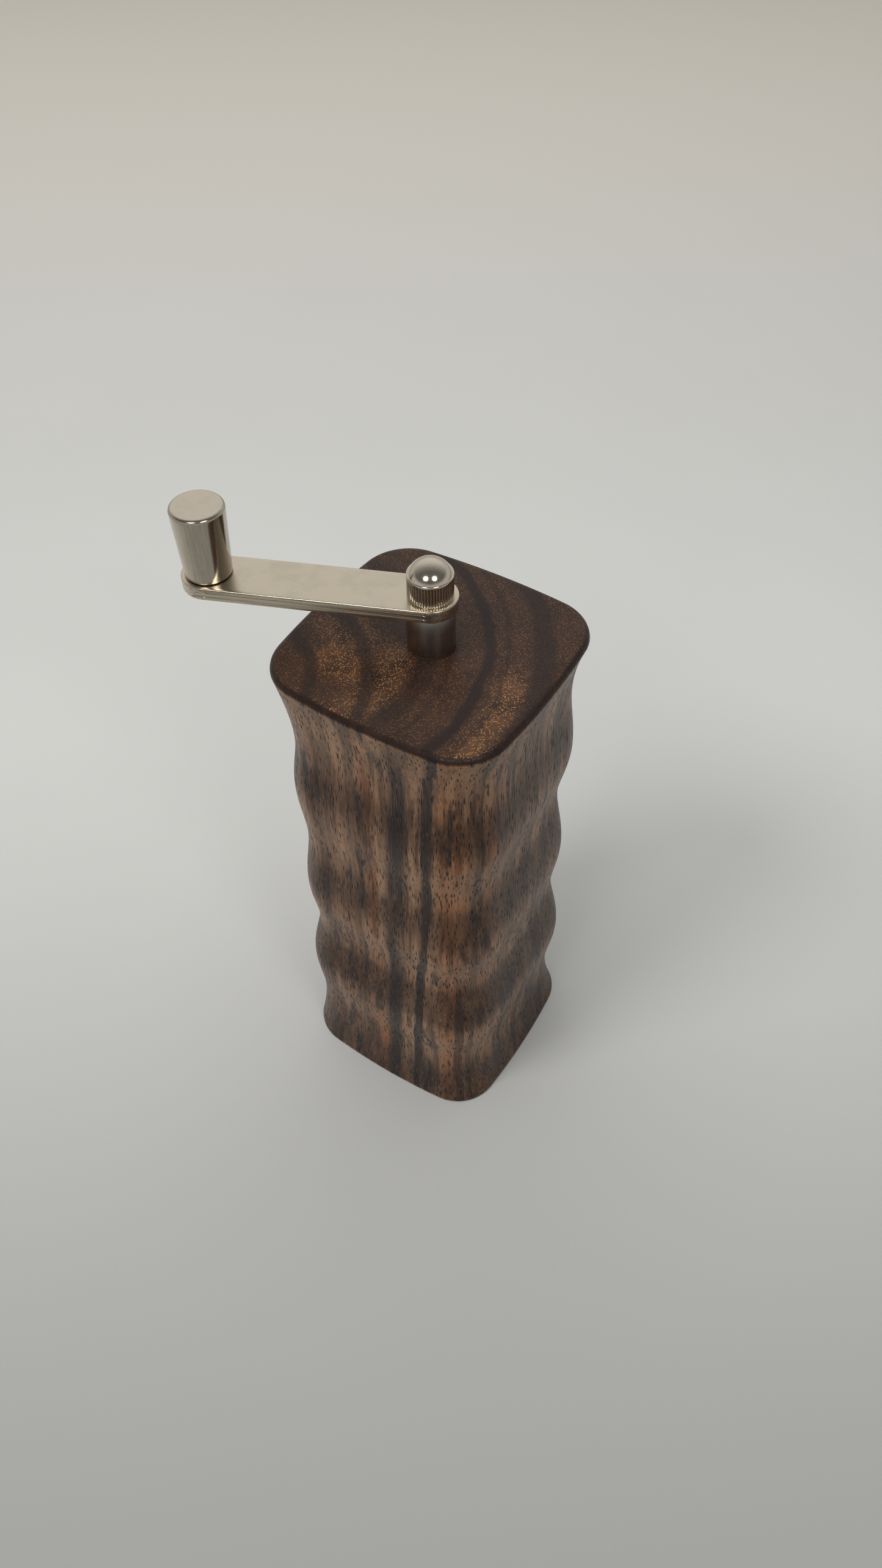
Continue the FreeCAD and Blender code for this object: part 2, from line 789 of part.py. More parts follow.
def build_burr_fastening():
    """The washers and nut that hold the cone on the shaft, and the spring above it."""
    stud_bore = "thread_radius + running_clearance"
    washer_bottom = "inner_burr_bottom - burr_washer_height"
    ring_part("burr_washer", stud_bore, "thread_radius * 2", washer_bottom, "inner_burr_bottom")
    nut = new_body("burr_nut")
    bind(nut, "Placement.Base.z", f"{washer_bottom} - burr_nut_height")
    outline = new_sketch(nut, "hexagon", "XY_Plane")
    corner = "burr_nut_flats / 2 / cos( 30 )"
    draw_outline(
        outline,
        [(f"{corner} * cos( {60 * i} )", f"{corner} * sin( {60 * i} )") for i in range(6)],
    )
    draw_circle(outline, "0", "0", stud_bore)
    extrude(nut, "blank", outline, "burr_nut_height")
    ring_part(
        "spring_washer",
        "shaft_radius + running_clearance",
        "spring_washer_radius",
        "shaft_shoulder",
        "shaft_shoulder + spring_washer_height",
    )


def build_burr_spring():
    """A short compression spring: a round wire swept along a helix round the shaft."""
    low = value("shaft_shoulder + spring_washer_height + spring_wire_radius")
    high = value("burr_top - spring_wire_radius")
    pitch = (high - low) / value("spring_turns")
    radius = value("spring_radius")
    wire_radius = value("spring_wire_radius")
    path = Part.makeLongHelix(pitch, high - low, radius)
    direction = vector(0, 2 * math.pi * radius, pitch)
    section = Part.Wire(Part.makeCircle(wire_radius, vector(radius), direction))
    solid = Part.Wire(path.Edges).makePipeShell([section], True, True)
    spring = document.addObject("Part::Feature", "burr_spring")
    spring.Label = "burr_spring"
    spring.Shape = solid
    spring.Placement = FreeCAD.Placement(vector(z=low), FreeCAD.Rotation())
    PARTS.append(spring)


# ---------------------------------------------------------------- burr cartridge in the block


def build_insert_ring():
    """The threaded ring screwed up under the block's shoulder, and its three wood screws."""
    body = new_body("insert_ring")
    bore, outside = "ring_bore_radius", "ring_radius"
    corners = [(bore, "ring_bottom"), (outside, "ring_bottom"), (outside, "bay_top"), (bore, "bay_top")]
    revolve(body, "turning", corners)
    through = new_sketch(body, "screw_outline", "XY_Plane", "ring_bottom")
    draw_circle(through, "screw_circle_radius", "0", "screw_radius + 0.1")
    hole = extrude(body, "screw_hole", through, "bay_top - ring_bottom", kind="Pocket")
    sunk = new_sketch(body, "head_outline", "XY_Plane", "ring_bottom")
    draw_circle(sunk, "screw_circle_radius", "0", "screw_head_radius + 0.05")
    recess = extrude(
        body, "head_recess", sunk, "screw_sink + screw_head_height", kind="Pocket"
    )
    pattern = body.newObject("PartDesign::PolarPattern", "screw_places")
    axis = next(item for item in body.Origin.OriginFeatures if item.Role == "Z_Axis")
    pattern.Originals = [hole, recess]
    pattern.Axis = (axis, [""])
    pattern.Angle = 360
    pattern.Occurrences = 3
    body.Tip = pattern
    document.recompute()
    check(pattern)


def build_insert_screws():
    """Three identical wood screws: flat heads, conical undersides and pointed ends."""
    head = value("ring_bottom + screw_sink")
    profile = [
        (0.0, head),
        (value("screw_head_radius"), head),
        (value("screw_head_radius"), head + 0.3),
        (value("screw_radius"), head + value("screw_head_height")),
        (value("screw_radius"), head + value("screw_length") - 2.5),
        (0.0, head + value("screw_length")),
    ]
    points = [vector(radius, 0, height) for radius, height in profile]
    face = Part.Face(Part.makePolygon(points + points[:1]))
    screw = face.revolve(vector(), vector(z=1), 360)
    circle = value("screw_circle_radius")
    copies = []
    for index in range(3):
        angle = math.radians(120 * index)
        copy = screw.copy()
        copy.translate(vector(circle * math.cos(angle), circle * math.sin(angle)))
        copies.append(copy)
    screws = document.addObject("Part::Feature", "insert_screws")
    screws.Label = "insert_screws"
    screws.Shape = Part.makeCompound(copies)
    screws.Placement = FreeCAD.Placement()
    PARTS.append(screws)


def build_burr_carrier():
    """The flanged barrel that holds the outer burr and the spider, threaded into the ring."""
    body = new_body("burr_carrier")
    groove_bottom = "burr_top + spider_height"
    groove_top = "burr_top + spider_height + circlip_height + 0.1"
    bore = "carrier_bore_radius"
    groove = "circlip_outer_radius + 0.1"
    revolve(
        body,
        "turning",
        [
            ("exit_radius", "carrier_bottom"),
            ("carrier_flange_radius", "carrier_bottom"),
            ("carrier_flange_radius", "ring_bottom"),
            ("carrier_radius", "ring_bottom"),
            ("carrier_radius", "carrier_top"),
            (bore, "carrier_top"),
            (bore, groove_top),
            (groove, groove_top),
            (groove, groove_bottom),
            (bore, groove_bottom),
            (bore, "burr_seat"),
            ("exit_radius", "burr_seat"),
        ],
    )
    cut_key_notches(body, "carrier_top - key_bottom")
    finger = new_sketch(body, "finger_outline", "XY_Plane", "carrier_bottom")
    draw_circle(finger, "0", "carrier_flange_radius + 1", "3")
    notch = extrude(body, "finger_notch", finger, "ring_bottom - carrier_bottom", kind="Pocket")
    repeat(body, "finger_notches", notch, 4)


def build_burr_keys():
    """Two dowel keys that stop the outer burr from turning in its carrier."""
    copies = []
    for side in (1, -1):
        key = Part.makeCylinder(
            value("key_radius"),
            value("burr_top - key_bottom") - 0.2,
            vector(side * value("outer_burr_radius"), 0, value("key_bottom") + 0.1),
        )
        copies.append(key)
    keys = document.addObject("Part::Feature", "burr_keys")
    keys.Label = "burr_keys"
    keys.Shape = Part.makeCompound(copies)
    keys.Placement = FreeCAD.Placement()
    PARTS.append(keys)


def build_bearing_spider():
    """The three-armed bearing plate over the burrs, its bush and the circlip that holds it."""
    body = new_body("bearing_spider")
    bind(body, "Placement.Base.z", "burr_top")
    rim = new_sketch(body, "rim_outline", "XY_Plane")
    draw_circle(rim, "0", "0", "outer_burr_radius")
    draw_circle(rim, "0", "0", "spider_opening_radius")
    extrude(body, "rim", rim, "spider_height")
    arm = new_sketch(body, "arm_outline", "XY_Plane")
    half = "spider_arm_width / 2"
    inner, outer = "hub_bore_radius + 0.5", "spider_opening_radius + 1"
    draw_outline(
        arm,
        [(inner, f"-1 * {half}"), (outer, f"-1 * {half}"), (outer, half), (inner, half)],
    )
    bar = extrude(body, "arm", arm, "spider_height")
    repeat(body, "arms", bar, 3)
    hub = new_sketch(body, "hub_outline", "XY_Plane")
    draw_circle(hub, "0", "0", "hub_radius")
    extrude(body, "hub", hub, "spider_height")
    bore = new_sketch(body, "bore_outline", "XY_Plane")
    draw_circle(bore, "0", "0", "hub_bore_radius + running_clearance")
    extrude(body, "bore", bore, "spider_height", kind="Pocket")
    ring_part(
        "spider_bush",
        "shaft_radius + running_clearance",
        "hub_bore_radius",
        "burr_top",
        "burr_top + spider_height",
    )


def build_spider_circlip():
    """An open spring ring in the carrier's groove, with two holed ears for pliers."""
    body = new_body("spider_circlip")
    bind(body, "Placement.Base.z", "burr_top + spider_height + 0.05")
    ring = new_sketch(body, "ring_outline", "XY_Plane")
    draw_circle(ring, "0", "0", "circlip_outer_radius")
    draw_circle(ring, "0", "0", "circlip_inner_radius")
    extrude(body, "ring", ring, "circlip_height")
    gap = new_sketch(body, "gap_outline", "XY_Plane")
    draw_outline(
        gap,
        [("-3", "circlip_inner_radius - 2"), ("3", "circlip_inner_radius - 2"), ("3", "20"), ("-3", "20")],
    )
    extrude(body, "gap", gap, "circlip_height", kind="Pocket")
    ears = new_sketch(body, "ear_outline", "XY_Plane")
    holes = new_sketch(body, "ear_holes", "XY_Plane")
    for side in ("4.2", "-4.2"):
        draw_circle(ears, side, "circlip_inner_radius - 0.6", "1.2")
        draw_circle(holes, side, "circlip_inner_radius - 0.8", "0.5")
    extrude(body, "ears", ears, "circlip_height")
    extrude(body, "ear_hole", holes, "circlip_height", kind="Pocket")


# ---------------------------------------------------------------- grounds cup


def build_grounds_cup():
    """The cup that slides up into the foot: its base is recessed round a web to pinch."""
    body = new_body("grounds_cup")
    inside = "cup_radius - cup_wall"
    floor = "cup_recess_top + cup_floor"
    groove = "seal_radius - seal_wire_radius - 0.02"
    revolve(
        body,
        "turning",
        [
            ("cup_radius", "cup_bottom"),
            ("cup_radius", "seal_height - seal_wire_radius - 0.05"),
            (groove, "seal_height - seal_wire_radius - 0.05"),
            (groove, "seal_height + seal_wire_radius + 0.05"),
            ("cup_radius", "seal_height + seal_wire_radius + 0.05"),
            ("cup_radius", "cup_top"),
            (inside, "cup_top"),
            (inside, floor),
            ("0", floor),
            ("0", "cup_recess_top"),
            (inside, "cup_recess_top"),
            (inside, "cup_bottom"),
        ],
    )
    web = new_sketch(body, "web_outline", "XY_Plane", "cup_bottom")
    reach, half = "cup_radius - cup_wall + 0.6", "cup_web / 2"
    draw_outline(
        web,
        [
            (f"-1 * ( {reach} )", f"-1 * {half}"),
            (reach, f"-1 * {half}"),
            (reach, half),
            (f"-1 * ( {reach} )", half),
        ],
    )
    extrude(body, "web", web, "cup_recess_top - cup_bottom")
    seal = document.addObject("Part::Torus", "cup_seal")
    seal.Label = "cup_seal"
    bind(seal, "Radius1", "seal_radius")
    bind(seal, "Radius2", "seal_wire_radius")
    bind(seal, "Placement.Base.z", "seal_height")
    PARTS.append(seal)


def export_parts():
    """Check every object and every part's shape, then write one STEP file for each part."""
    document.recompute()
    for item in document.Objects:
        check(item)
    os.makedirs("parts", exist_ok=True)
    for part in PARTS:
        shape = part.Shape
        if shape.isNull() or not shape.isValid():
            raise RuntimeError(f"{part.Label} has no valid shape")
        shape.exportStep(f"parts/{part.Label}.step")
        print(f"{part.Label}: {len(shape.Solids)} solids, {shape.Volume:.1f} mm3")


fill_sheet()
build_body_block()
build_top_bearing()
build_crank_arm()
build_adjusting_nut()
build_handle()
build_drive_shaft()
build_inner_burr()
build_outer_burr()
build_burr_fastening()
build_burr_spring()
build_insert_ring()
build_insert_screws()
build_burr_carrier()
build_burr_keys()
build_bearing_spider()
build_spider_circlip()
build_grounds_cup()
export_parts()
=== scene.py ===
"""Hand-crank burr coffee grinder: a waved walnut block with a flat crank on a sleeve, a knurled
nut with a dome, and a turned handle. Visible pieces are rebuilt as finer meshes in the CAD frame,
and every piece gets a procedural finish. Lengths are millimetres until a mesh is made."""

import json
import math

import bmesh
import bpy
import numpy as np
from bpy.props import FloatProperty, FloatVectorProperty, IntProperty, PointerProperty
from mathutils import Matrix, Vector


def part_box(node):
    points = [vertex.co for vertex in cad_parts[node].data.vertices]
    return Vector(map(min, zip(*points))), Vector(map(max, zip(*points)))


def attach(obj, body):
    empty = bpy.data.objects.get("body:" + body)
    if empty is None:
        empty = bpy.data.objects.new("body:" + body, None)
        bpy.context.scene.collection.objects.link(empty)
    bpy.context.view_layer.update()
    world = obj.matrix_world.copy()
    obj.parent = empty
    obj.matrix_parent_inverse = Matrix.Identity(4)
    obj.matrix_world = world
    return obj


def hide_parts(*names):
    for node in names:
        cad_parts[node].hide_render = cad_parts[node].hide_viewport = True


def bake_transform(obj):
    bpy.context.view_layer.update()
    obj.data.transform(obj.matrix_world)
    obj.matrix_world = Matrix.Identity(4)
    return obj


bl_info = {
    "name": "Walnut Hand Mill",
    "version": (1, 0, 0),
    "blender": (4, 5, 0),
    "location": "View3D > Sidebar > Mill",
    "description": "Builds a hand-crank coffee mill with a walnut body and its studio",
    "category": "Object",
}

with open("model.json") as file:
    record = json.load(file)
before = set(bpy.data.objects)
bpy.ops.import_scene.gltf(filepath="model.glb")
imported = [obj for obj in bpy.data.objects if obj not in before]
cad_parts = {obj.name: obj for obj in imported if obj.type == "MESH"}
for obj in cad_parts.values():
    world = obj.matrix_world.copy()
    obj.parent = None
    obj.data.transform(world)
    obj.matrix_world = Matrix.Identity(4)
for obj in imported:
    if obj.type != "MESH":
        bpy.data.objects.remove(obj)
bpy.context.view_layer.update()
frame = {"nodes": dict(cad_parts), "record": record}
MM = 0.001
# which way the block's waves lean, and which way the arm points at rest
LEAN_AZIMUTH = math.radians(40.6)
ARM_AZIMUTH = math.radians(202.7)
BLOCK_TOP = 174.3
WELD = 2e-7


def mm_field(name, text, default, low=0.0):
    """A length property in millimetres."""
    return FloatProperty(name=name, description=text, default=default, min=low)


def number_field(name, text, default):
    """A plain number, or an angle in degrees where its text says so."""
    return FloatProperty(name=name, description=text, default=default)


def row_field(name, text, default):
    """A row of numbers in millimetres, or in degrees where its text says so."""
    return FloatVectorProperty(name=name, description=text, size=len(default), default=default)


def colour_field(name, text, default):
    """A colour property, given in linear light."""
    return FloatVectorProperty(
        name=name, description=text, default=default, subtype="COLOR", size=3, min=0.0, max=1.0
    )


def srgb(red, green, blue):
    """An 8-bit display colour as linear light: each share to the power 2.4 after its offset."""
    share = np.array([red, green, blue]) / 255.0
    linear = np.where(share <= 0.04045, share / 12.92, ((share + 0.055) / 1.055) ** 2.4)
    return tuple(float(x) for x in linear)


class BlockSizes(bpy.types.PropertyGroup):
    """Shape of the walnut block: its waves are valleys and crests listed from foot to rim."""

    heights: row_field(
        "Wave heights",
        "Height of the foot, each valley and crest, and the rim",
        (0.8, 24.1, 43.9, 67.1, 85.8, 110.1, 130.7, 151.3, 172.3),
    )
    half_widths: row_field(
        "Half widths",
        "Half of the block's width at each of those heights",
        (35.7, 33.1, 34.8, 32.3, 33.9, 32.1, 33.9, 32.6, 35.25),
    )
    leans: row_field(
        "Leans",
        "How far each section stands off the axis",
        (0.0, -0.6, -0.1, -0.25, -0.15, -0.55, 0.15, 0.15, 0.0),
    )
    tilts: row_field(
        "Tilts",
        "How far each section is tilted from level, in degrees",
        (0.0, 0.0, 0.0, 3.0, 2.7, 4.9, 3.3, 6.0, 0.0),
    )
    top: mm_field("Top", "Height of the block's flat top", BLOCK_TOP)
    depth_ratio: number_field("Depth ratio", "Depth over width", 0.98)
    side_radius: mm_field("Side radius", "Radius of the swell of each side", 230.0)
    corner_radius: mm_field("Corner radius", "Radius of the four upright corners", 14.6)
    rim_round: mm_field("Rim round", "Radius of the eased edge at the top", 2.0)
    foot_round: mm_field("Foot round", "Radius of the eased edge at the foot", 0.8)
    seat_radius: mm_field("Seat radius", "Recess for the bush's flange", 6.3)
    bore_radius: mm_field("Bore radius", "Bore for the top bush", 5.6)
    hopper_radius: mm_field("Hopper radius", "Bean hopper inside the block", 19.0)
    bay_radius: mm_field("Bay radius", "Bay for the grounds cup", 25.0)
    bay_height: mm_field("Bay height", "Height of the bay's ceiling", 49.0)
    hopper_top: mm_field("Hopper top", "Height of the hopper's ceiling", 164.0)


class CrankSizes(bpy.types.PropertyGroup):
    """Shape of the sleeve, the arm, the nut and the handle."""

    sleeve_radius: mm_field("Sleeve radius", "Outside of the spacer sleeve", 6.35)
    sleeve_bore: mm_field("Sleeve bore", "Inside of the spacer sleeve", 3.55)
    sleeve_bottom: mm_field("Sleeve bottom", "Height of the sleeve's lower end", 174.7)
    arm_bottom: mm_field("Arm bottom", "Height of the arm's lower face", 187.2)
    arm_top: mm_field("Arm top", "Height of the arm's upper face", 190.8)
    arm_length: mm_field("Arm length", "Between the shaft and the handle's pin", 57.05)
    arm_radius: mm_field("Arm end radius", "Half of the arm's width", 7.15)
    arm_round: mm_field("Arm edge", "Round on the arm's long edges", 0.3)
    groove_depth: mm_field("Groove depth", "Depth of the two lines along the arm's sides", 0.12)
    nut_radius: mm_field("Nut radius", "Outside of the nut's grip", 5.92)
    nut_grip: mm_field("Nut grip", "Height of the nut up to its dome", 6.75)
    nut_knurl_top: mm_field("Knurl height", "Height of the knurled part", 5.95)
    nut_dome: mm_field("Nut dome", "Height of the dome", 3.65)
    knurl_count: IntProperty(name="Knurls", description="Ridges round the nut", default=48)
    knurl_depth: mm_field("Knurl depth", "Depth between two ridges", 0.22)
    handle_bottom: mm_field("Handle bottom", "Height of the handle's lower end", 191.1)
    handle_top: mm_field("Handle top", "Height of the handle's flat top", 210.9)
    handle_foot_radius: mm_field("Handle foot radius", "Radius at the handle's foot", 6.1)
    handle_top_radius: mm_field("Handle top radius", "Radius below the handle's rounded edge", 6.95)
    handle_round: mm_field("Handle edge", "Round at the handle's top edge", 1.0)
    handle_bore: mm_field("Handle bore", "Bore for the handle's bush", 4.15)
    handle_bore_top: mm_field("Handle bore top", "Height where the bore ends", 208.0)


class Finishes(bpy.types.PropertyGroup):
    """Colours of the wood and the metals, in linear light."""

    wood_light: colour_field("Light wood", "Palest wood of the sides", srgb(150, 118, 90))
    wood_mid: colour_field("Mid wood", "Common brown of the sides", srgb(92, 59, 38))
    wood_dark: colour_field("Dark wood", "Dark growth bands", srgb(19, 14, 16))
    wood_orange: colour_field("Warm wood", "Warm streaks beside the dark bands", srgb(144, 84, 42))
    # painted shade: the colour laid on slopes that face up, in place of a reflection of the dark
    # room
    wood_slope_shade: colour_field("Oiled slope", "Slopes that take up more oil", srgb(42, 25, 17))
    wood_pore: colour_field("Pores", "Pores of the sides", srgb(22, 15, 14))
    wood_rim: colour_field("Rim", "Eased edge round the top", srgb(27, 15, 12))
    end_dark: colour_field("Dark end grain", "Dark rings of the top", srgb(30, 21, 19))
    end_mid: colour_field("End grain", "Common colour of the top", srgb(56, 37, 27))
    end_base: colour_field("Deep end grain", "Darker clouds of the top", srgb(38, 25, 19))
    end_gold: colour_field("Golden zones", "Zones of the top that glow", srgb(98, 66, 42))
    end_fleck: colour_field("Golden flecks", "Small bright flecks of the top", srgb(156, 112, 70))
    end_pore: colour_field("End pores", "Pores of the top", srgb(20, 14, 13))
    arm: colour_field("Arm metal", "Warm satin plate", srgb(216, 204, 184))
    bright: colour_field("Bright metal", "Nickel of the nut and the handle", srgb(216, 205, 188))
    dark_steel: colour_field("Dark steel", "Dark steel of the sleeve", srgb(168, 162, 156))
    brass: colour_field("Brass", "Brass of the bushes and the ring", srgb(212, 170, 96))
    steel: colour_field("Steel", "Ground steel of shafts and screws", srgb(190, 188, 184))
    spring: colour_field("Spring steel", "Dark steel of spring and clips", srgb(150, 146, 142))
    burr: colour_field("Burr steel", "Hardened steel of the burrs", srgb(120, 118, 116))
    alloy: colour_field("Alloy", "Machined alloy of carrier and spider", srgb(176, 176, 174))
    nylon: colour_field("Nylon", "Dark nylon of washer and bush", srgb(66, 54, 48))
    cup: colour_field("Cup", "Matt plastic of the grounds cup", srgb(34, 31, 30))
    seal: colour_field("Seal", "Rubber of the cup's seal", srgb(22, 22, 22))


class StudioSettings(bpy.types.PropertyGroup):
    """Camera, floor and lights."""

    target: row_field("Target", "Point that the camera looks at", (26.9, -38.0, 172.3))
    distance: mm_field("Distance", "From the camera to its target", 275.1)
    azimuth: number_field("Azimuth", "Camera's turn about the axis, in degrees", 32.872)
    elevation: number_field("Elevation", "Camera's height angle, in degrees", 48.716)
    roll: number_field("Roll", "Camera's roll, in degrees", -0.774)
    lens: mm_field("Lens", "Focal length for a 36 mm sensor", 27.03)
    key_energy: number_field("Key light", "Power of the large light", 27.0)
    fill_energy: number_field("Top light", "Power of the light overhead", 8.0)
    spark_energy: number_field("Sparks", "Power of each small light", 1.3)
    world_strength: number_field("World", "Strength of the room", 1.0)
    floor_colour: colour_field("Floor", "Pale floor", srgb(201, 201, 198))
    floor_far: colour_field("Far floor", "Warmer floor behind the mill", srgb(222, 216, 205))


# Mesh tools


def grid_mesh(name, rows, body, replaced, wrap=True, keep=None, crease=35.0):
    """Turn a grid of points in millimetres into a closed mesh in metres.

    Each point is joined to the next one round its loop and to the one on the next loop. With
    wrap, the last loop joins the first. Points that coincide are merged, which closes the poles
    and the seams, and faces are turned outwards.
    """
    count, around = rows.shape[:2]
    index = np.arange(count * around).reshape(count, around)
    across = np.roll(index, -1, 0)
    quads = np.stack([index, np.roll(index, -1, 1), np.roll(across, -1, 1), across], -1)
    used = np.ones((count, around), bool) if keep is None else keep.copy()
    if not wrap:
        used[-1] = False
    mesh = bpy.data.meshes.new(name)
    mesh.from_pydata((rows.reshape(-1, 3) * MM).tolist(), [], quads[used].tolist())
    work = bmesh.new()
    work.from_mesh(mesh)
    bmesh.ops.remove_doubles(work, verts=work.verts, dist=WELD)
    bmesh.ops.recalc_face_normals(work, faces=work.faces)
    if work.calc_volume(signed=True) < 0:
        bmesh.ops.reverse_faces(work, faces=work.faces)
    loose = [edge for edge in work.edges if len(edge.link_faces) != 2]
    if loose:
        raise RuntimeError(f"{name} has {len(loose)} open edges")
    work.to_mesh(mesh)
    work.free()
    mesh.polygons.foreach_set("use_smooth", np.ones(len(mesh.polygons), bool))
    mesh.set_sharp_from_angle(angle=math.radians(crease))
    piece = bpy.data.objects.new(name, mesh)
    bpy.context.scene.collection.objects.link(piece)
    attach(piece, body)
    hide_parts(*replaced)
    return piece


def turned_rows(profile, around, centre=(0.0, 0.0)):
    """Loops of a turned piece: each (radius, height) is carried round the upright axis, so
    x = centre + radius cos(angle) and y = centre + radius sin(angle)."""
    profile = np.asarray(profile, float)
    angle = np.linspace(0.0, 2 * math.pi, around, endpoint=False)
    radius, height = profile[:, :1], profile[:, 1:]
    x = centre[0] + radius * np.cos(angle)
    y = centre[1] + radius * np.sin(angle)
    return np.stack([x, y, np.broadcast_to(height, x.shape)], -1)


def arc(centre, radius, start, end, steps):
    """Points (radius, height) on a circle about centre, from start to end in degrees."""
    angle = np.radians(np.linspace(start, end, steps))
    return np.stack([centre[0] + radius * np.cos(angle), centre[1] + radius * np.sin(angle)], -1)


# The walnut block


def wave_values(sizes, height):
    """Half width, lean and tilt at each height. Between two listed heights the share of the
    way is one minus the square of what is left in the first span, the square in the last, and
    a half cosine in the others."""
    known = np.array(sizes.heights)
    span = np.clip(np.searchsorted(known, height, side="right") - 1, 0, len(known) - 2)
    t = np.clip((height - known[span]) / (known[span + 1] - known[span]), 0.0, 1.0)
    share = (1.0 - np.cos(np.pi * t)) / 2.0
    share = np.where(span == 0, 1.0 - (1.0 - t) ** 2, share)
    share = np.where(span == len(known) - 2, t**2, share)

    def blend(values):
        values = np.array(values)
        return values[span] + (values[span + 1] - values[span]) * share

    return blend(sizes.half_widths), blend(sizes.leans), np.radians(blend(sizes.tilts))


def rounded_square(half_width, half_depth, side_radius, corner_radius, straight, corner):
    """Loops of a swollen square with round corners. Each quarter is half a side arc, a corner
    arc and half a side arc, tangent to each other: the corner's centre is where circles of
    radius side minus corner about the two sides' centres meet. Returns x and y, one row for
    each half width."""
    a = (side_radius - half_width)[:, None]
    b = (side_radius - half_depth)[:, None]
    side, round_ = side_radius[:, None], corner_radius[:, None]
    gap = side - round_
    k, m = b / a, (b**2 - a**2) / (2 * a)
    p, q, r = k**2 + 1, 2 * (k * m + b), m**2 + b**2 - gap**2
    cy = (-q + np.sqrt(q**2 - 4 * p * r)) / (2 * p)
    cx = k * cy + m
    first, last = np.arctan2(cy, cx + a), np.arctan2(cy + b, cx)
    t_side = np.linspace(0, 1, straight, endpoint=False)[None, :]
    t_corner = np.linspace(0, 1, corner, endpoint=False)[None, :]
    one = first * t_side
    two = first + (last - first) * t_corner
    three = last + (math.pi / 2 - last) * t_side
    x = np.hstack([side * np.cos(one) - a, cx + round_ * np.cos(two), side * np.cos(three)])
    y = np.hstack([side * np.sin(one), cy + round_ * np.sin(two), side * np.sin(three) - b])
    # the second quarter is the first one mirrored, so its columns run backwards
    end_x, end_y = np.zeros_like(half_width)[:, None], half_depth[:, None]
    back_x = np.hstack([end_x, x[:, :0:-1]])
    back_y = np.hstack([end_y, y[:, :0:-1]])
    x = np.hstack([x, -back_x, -x, back_x])
    y = np.hstack([y, back_y, -y, -back_y])
    return x, y


def block_rows(sizes):
    """Loops of the block: up its waved outside, over the eased rim, across the top to the bore,
    down the bore, the hopper and the cup's bay, and back across the base. Each outside section
    is shifted by its lean and tilted about its middle: a point's height grows by its distance
    along the lean's azimuth times the sine of the tilt. The loops inside are circles that keep
    the rim's polar angles."""
    straight, corner = 20, 27
    waves = np.linspace(sizes.heights[0], sizes.heights[8], 158)
    foot_turn = np.linspace(0, math.pi / 2, 6)[:-1]
    foot_inset = sizes.foot_round * (1 - np.sin(foot_turn))
    foot_z = sizes.foot_round * (1 - np.cos(foot_turn))
    rim_turn = np.linspace(0, math.pi / 2, 12)[1:]
    rim_inset = sizes.rim_round * (1 - np.cos(rim_turn))
    rim_z = sizes.heights[8] + sizes.rim_round * np.sin(rim_turn)
    height = np.concatenate([foot_z, waves, rim_z])
    inset = np.concatenate([foot_inset, np.zeros_like(waves), rim_inset])
    base = np.clip(height, sizes.heights[0], sizes.heights[8])
    half, lean, tilt = wave_values(sizes, base)
    x, y = rounded_square(
        half - inset,
        half * sizes.depth_ratio - inset,
        sizes.side_radius - inset,
        sizes.corner_radius - inset,
        straight,
        corner,
    )
    along = x * math.cos(LEAN_AZIMUTH) + y * math.sin(LEAN_AZIMUTH)
    shift = lean[:, None] - along * (1 - np.cos(tilt))[:, None]
    z = height[:, None] + along * np.sin(tilt)[:, None]
    outside = np.stack(
        [x + shift * math.cos(LEAN_AZIMUTH), y + shift * math.sin(LEAN_AZIMUTH), z], -1
    )
    angle = np.arctan2(outside[-1, :, 1], outside[-1, :, 0])

    def ring(radius, level):
        return np.stack(
            [radius * np.cos(angle), radius * np.sin(angle), np.full_like(angle, level)], -1
        )

    seat = ring(sizes.seat_radius, sizes.top)
    seat_floor = sizes.top - 1.0
    share = np.linspace(0, 1, 16)[1:-1, None, None]
    face = outside[-1] + (seat - outside[-1]) * share
    inner = [
        seat,
        ring(sizes.seat_radius, seat_floor),
        ring(sizes.bore_radius, seat_floor),
        ring(sizes.bore_radius, sizes.hopper_top),
    ]
    inner += [ring(r, sizes.hopper_top) for r in (9.0, 14.0, sizes.hopper_radius)]
    inner += [
        ring(sizes.hopper_radius, z)
        for z in np.linspace(sizes.hopper_top, sizes.bay_height, 24)[1:]
    ]
    inner += [ring(sizes.bay_radius, z) for z in np.linspace(sizes.bay_height, 0.0, 10)]
    base_face = inner[-1] + (outside[0] - inner[-1]) * np.linspace(0, 1, 6)[1:-1, None, None]
    return np.concatenate([outside, face, np.array(inner), base_face])


# The arm


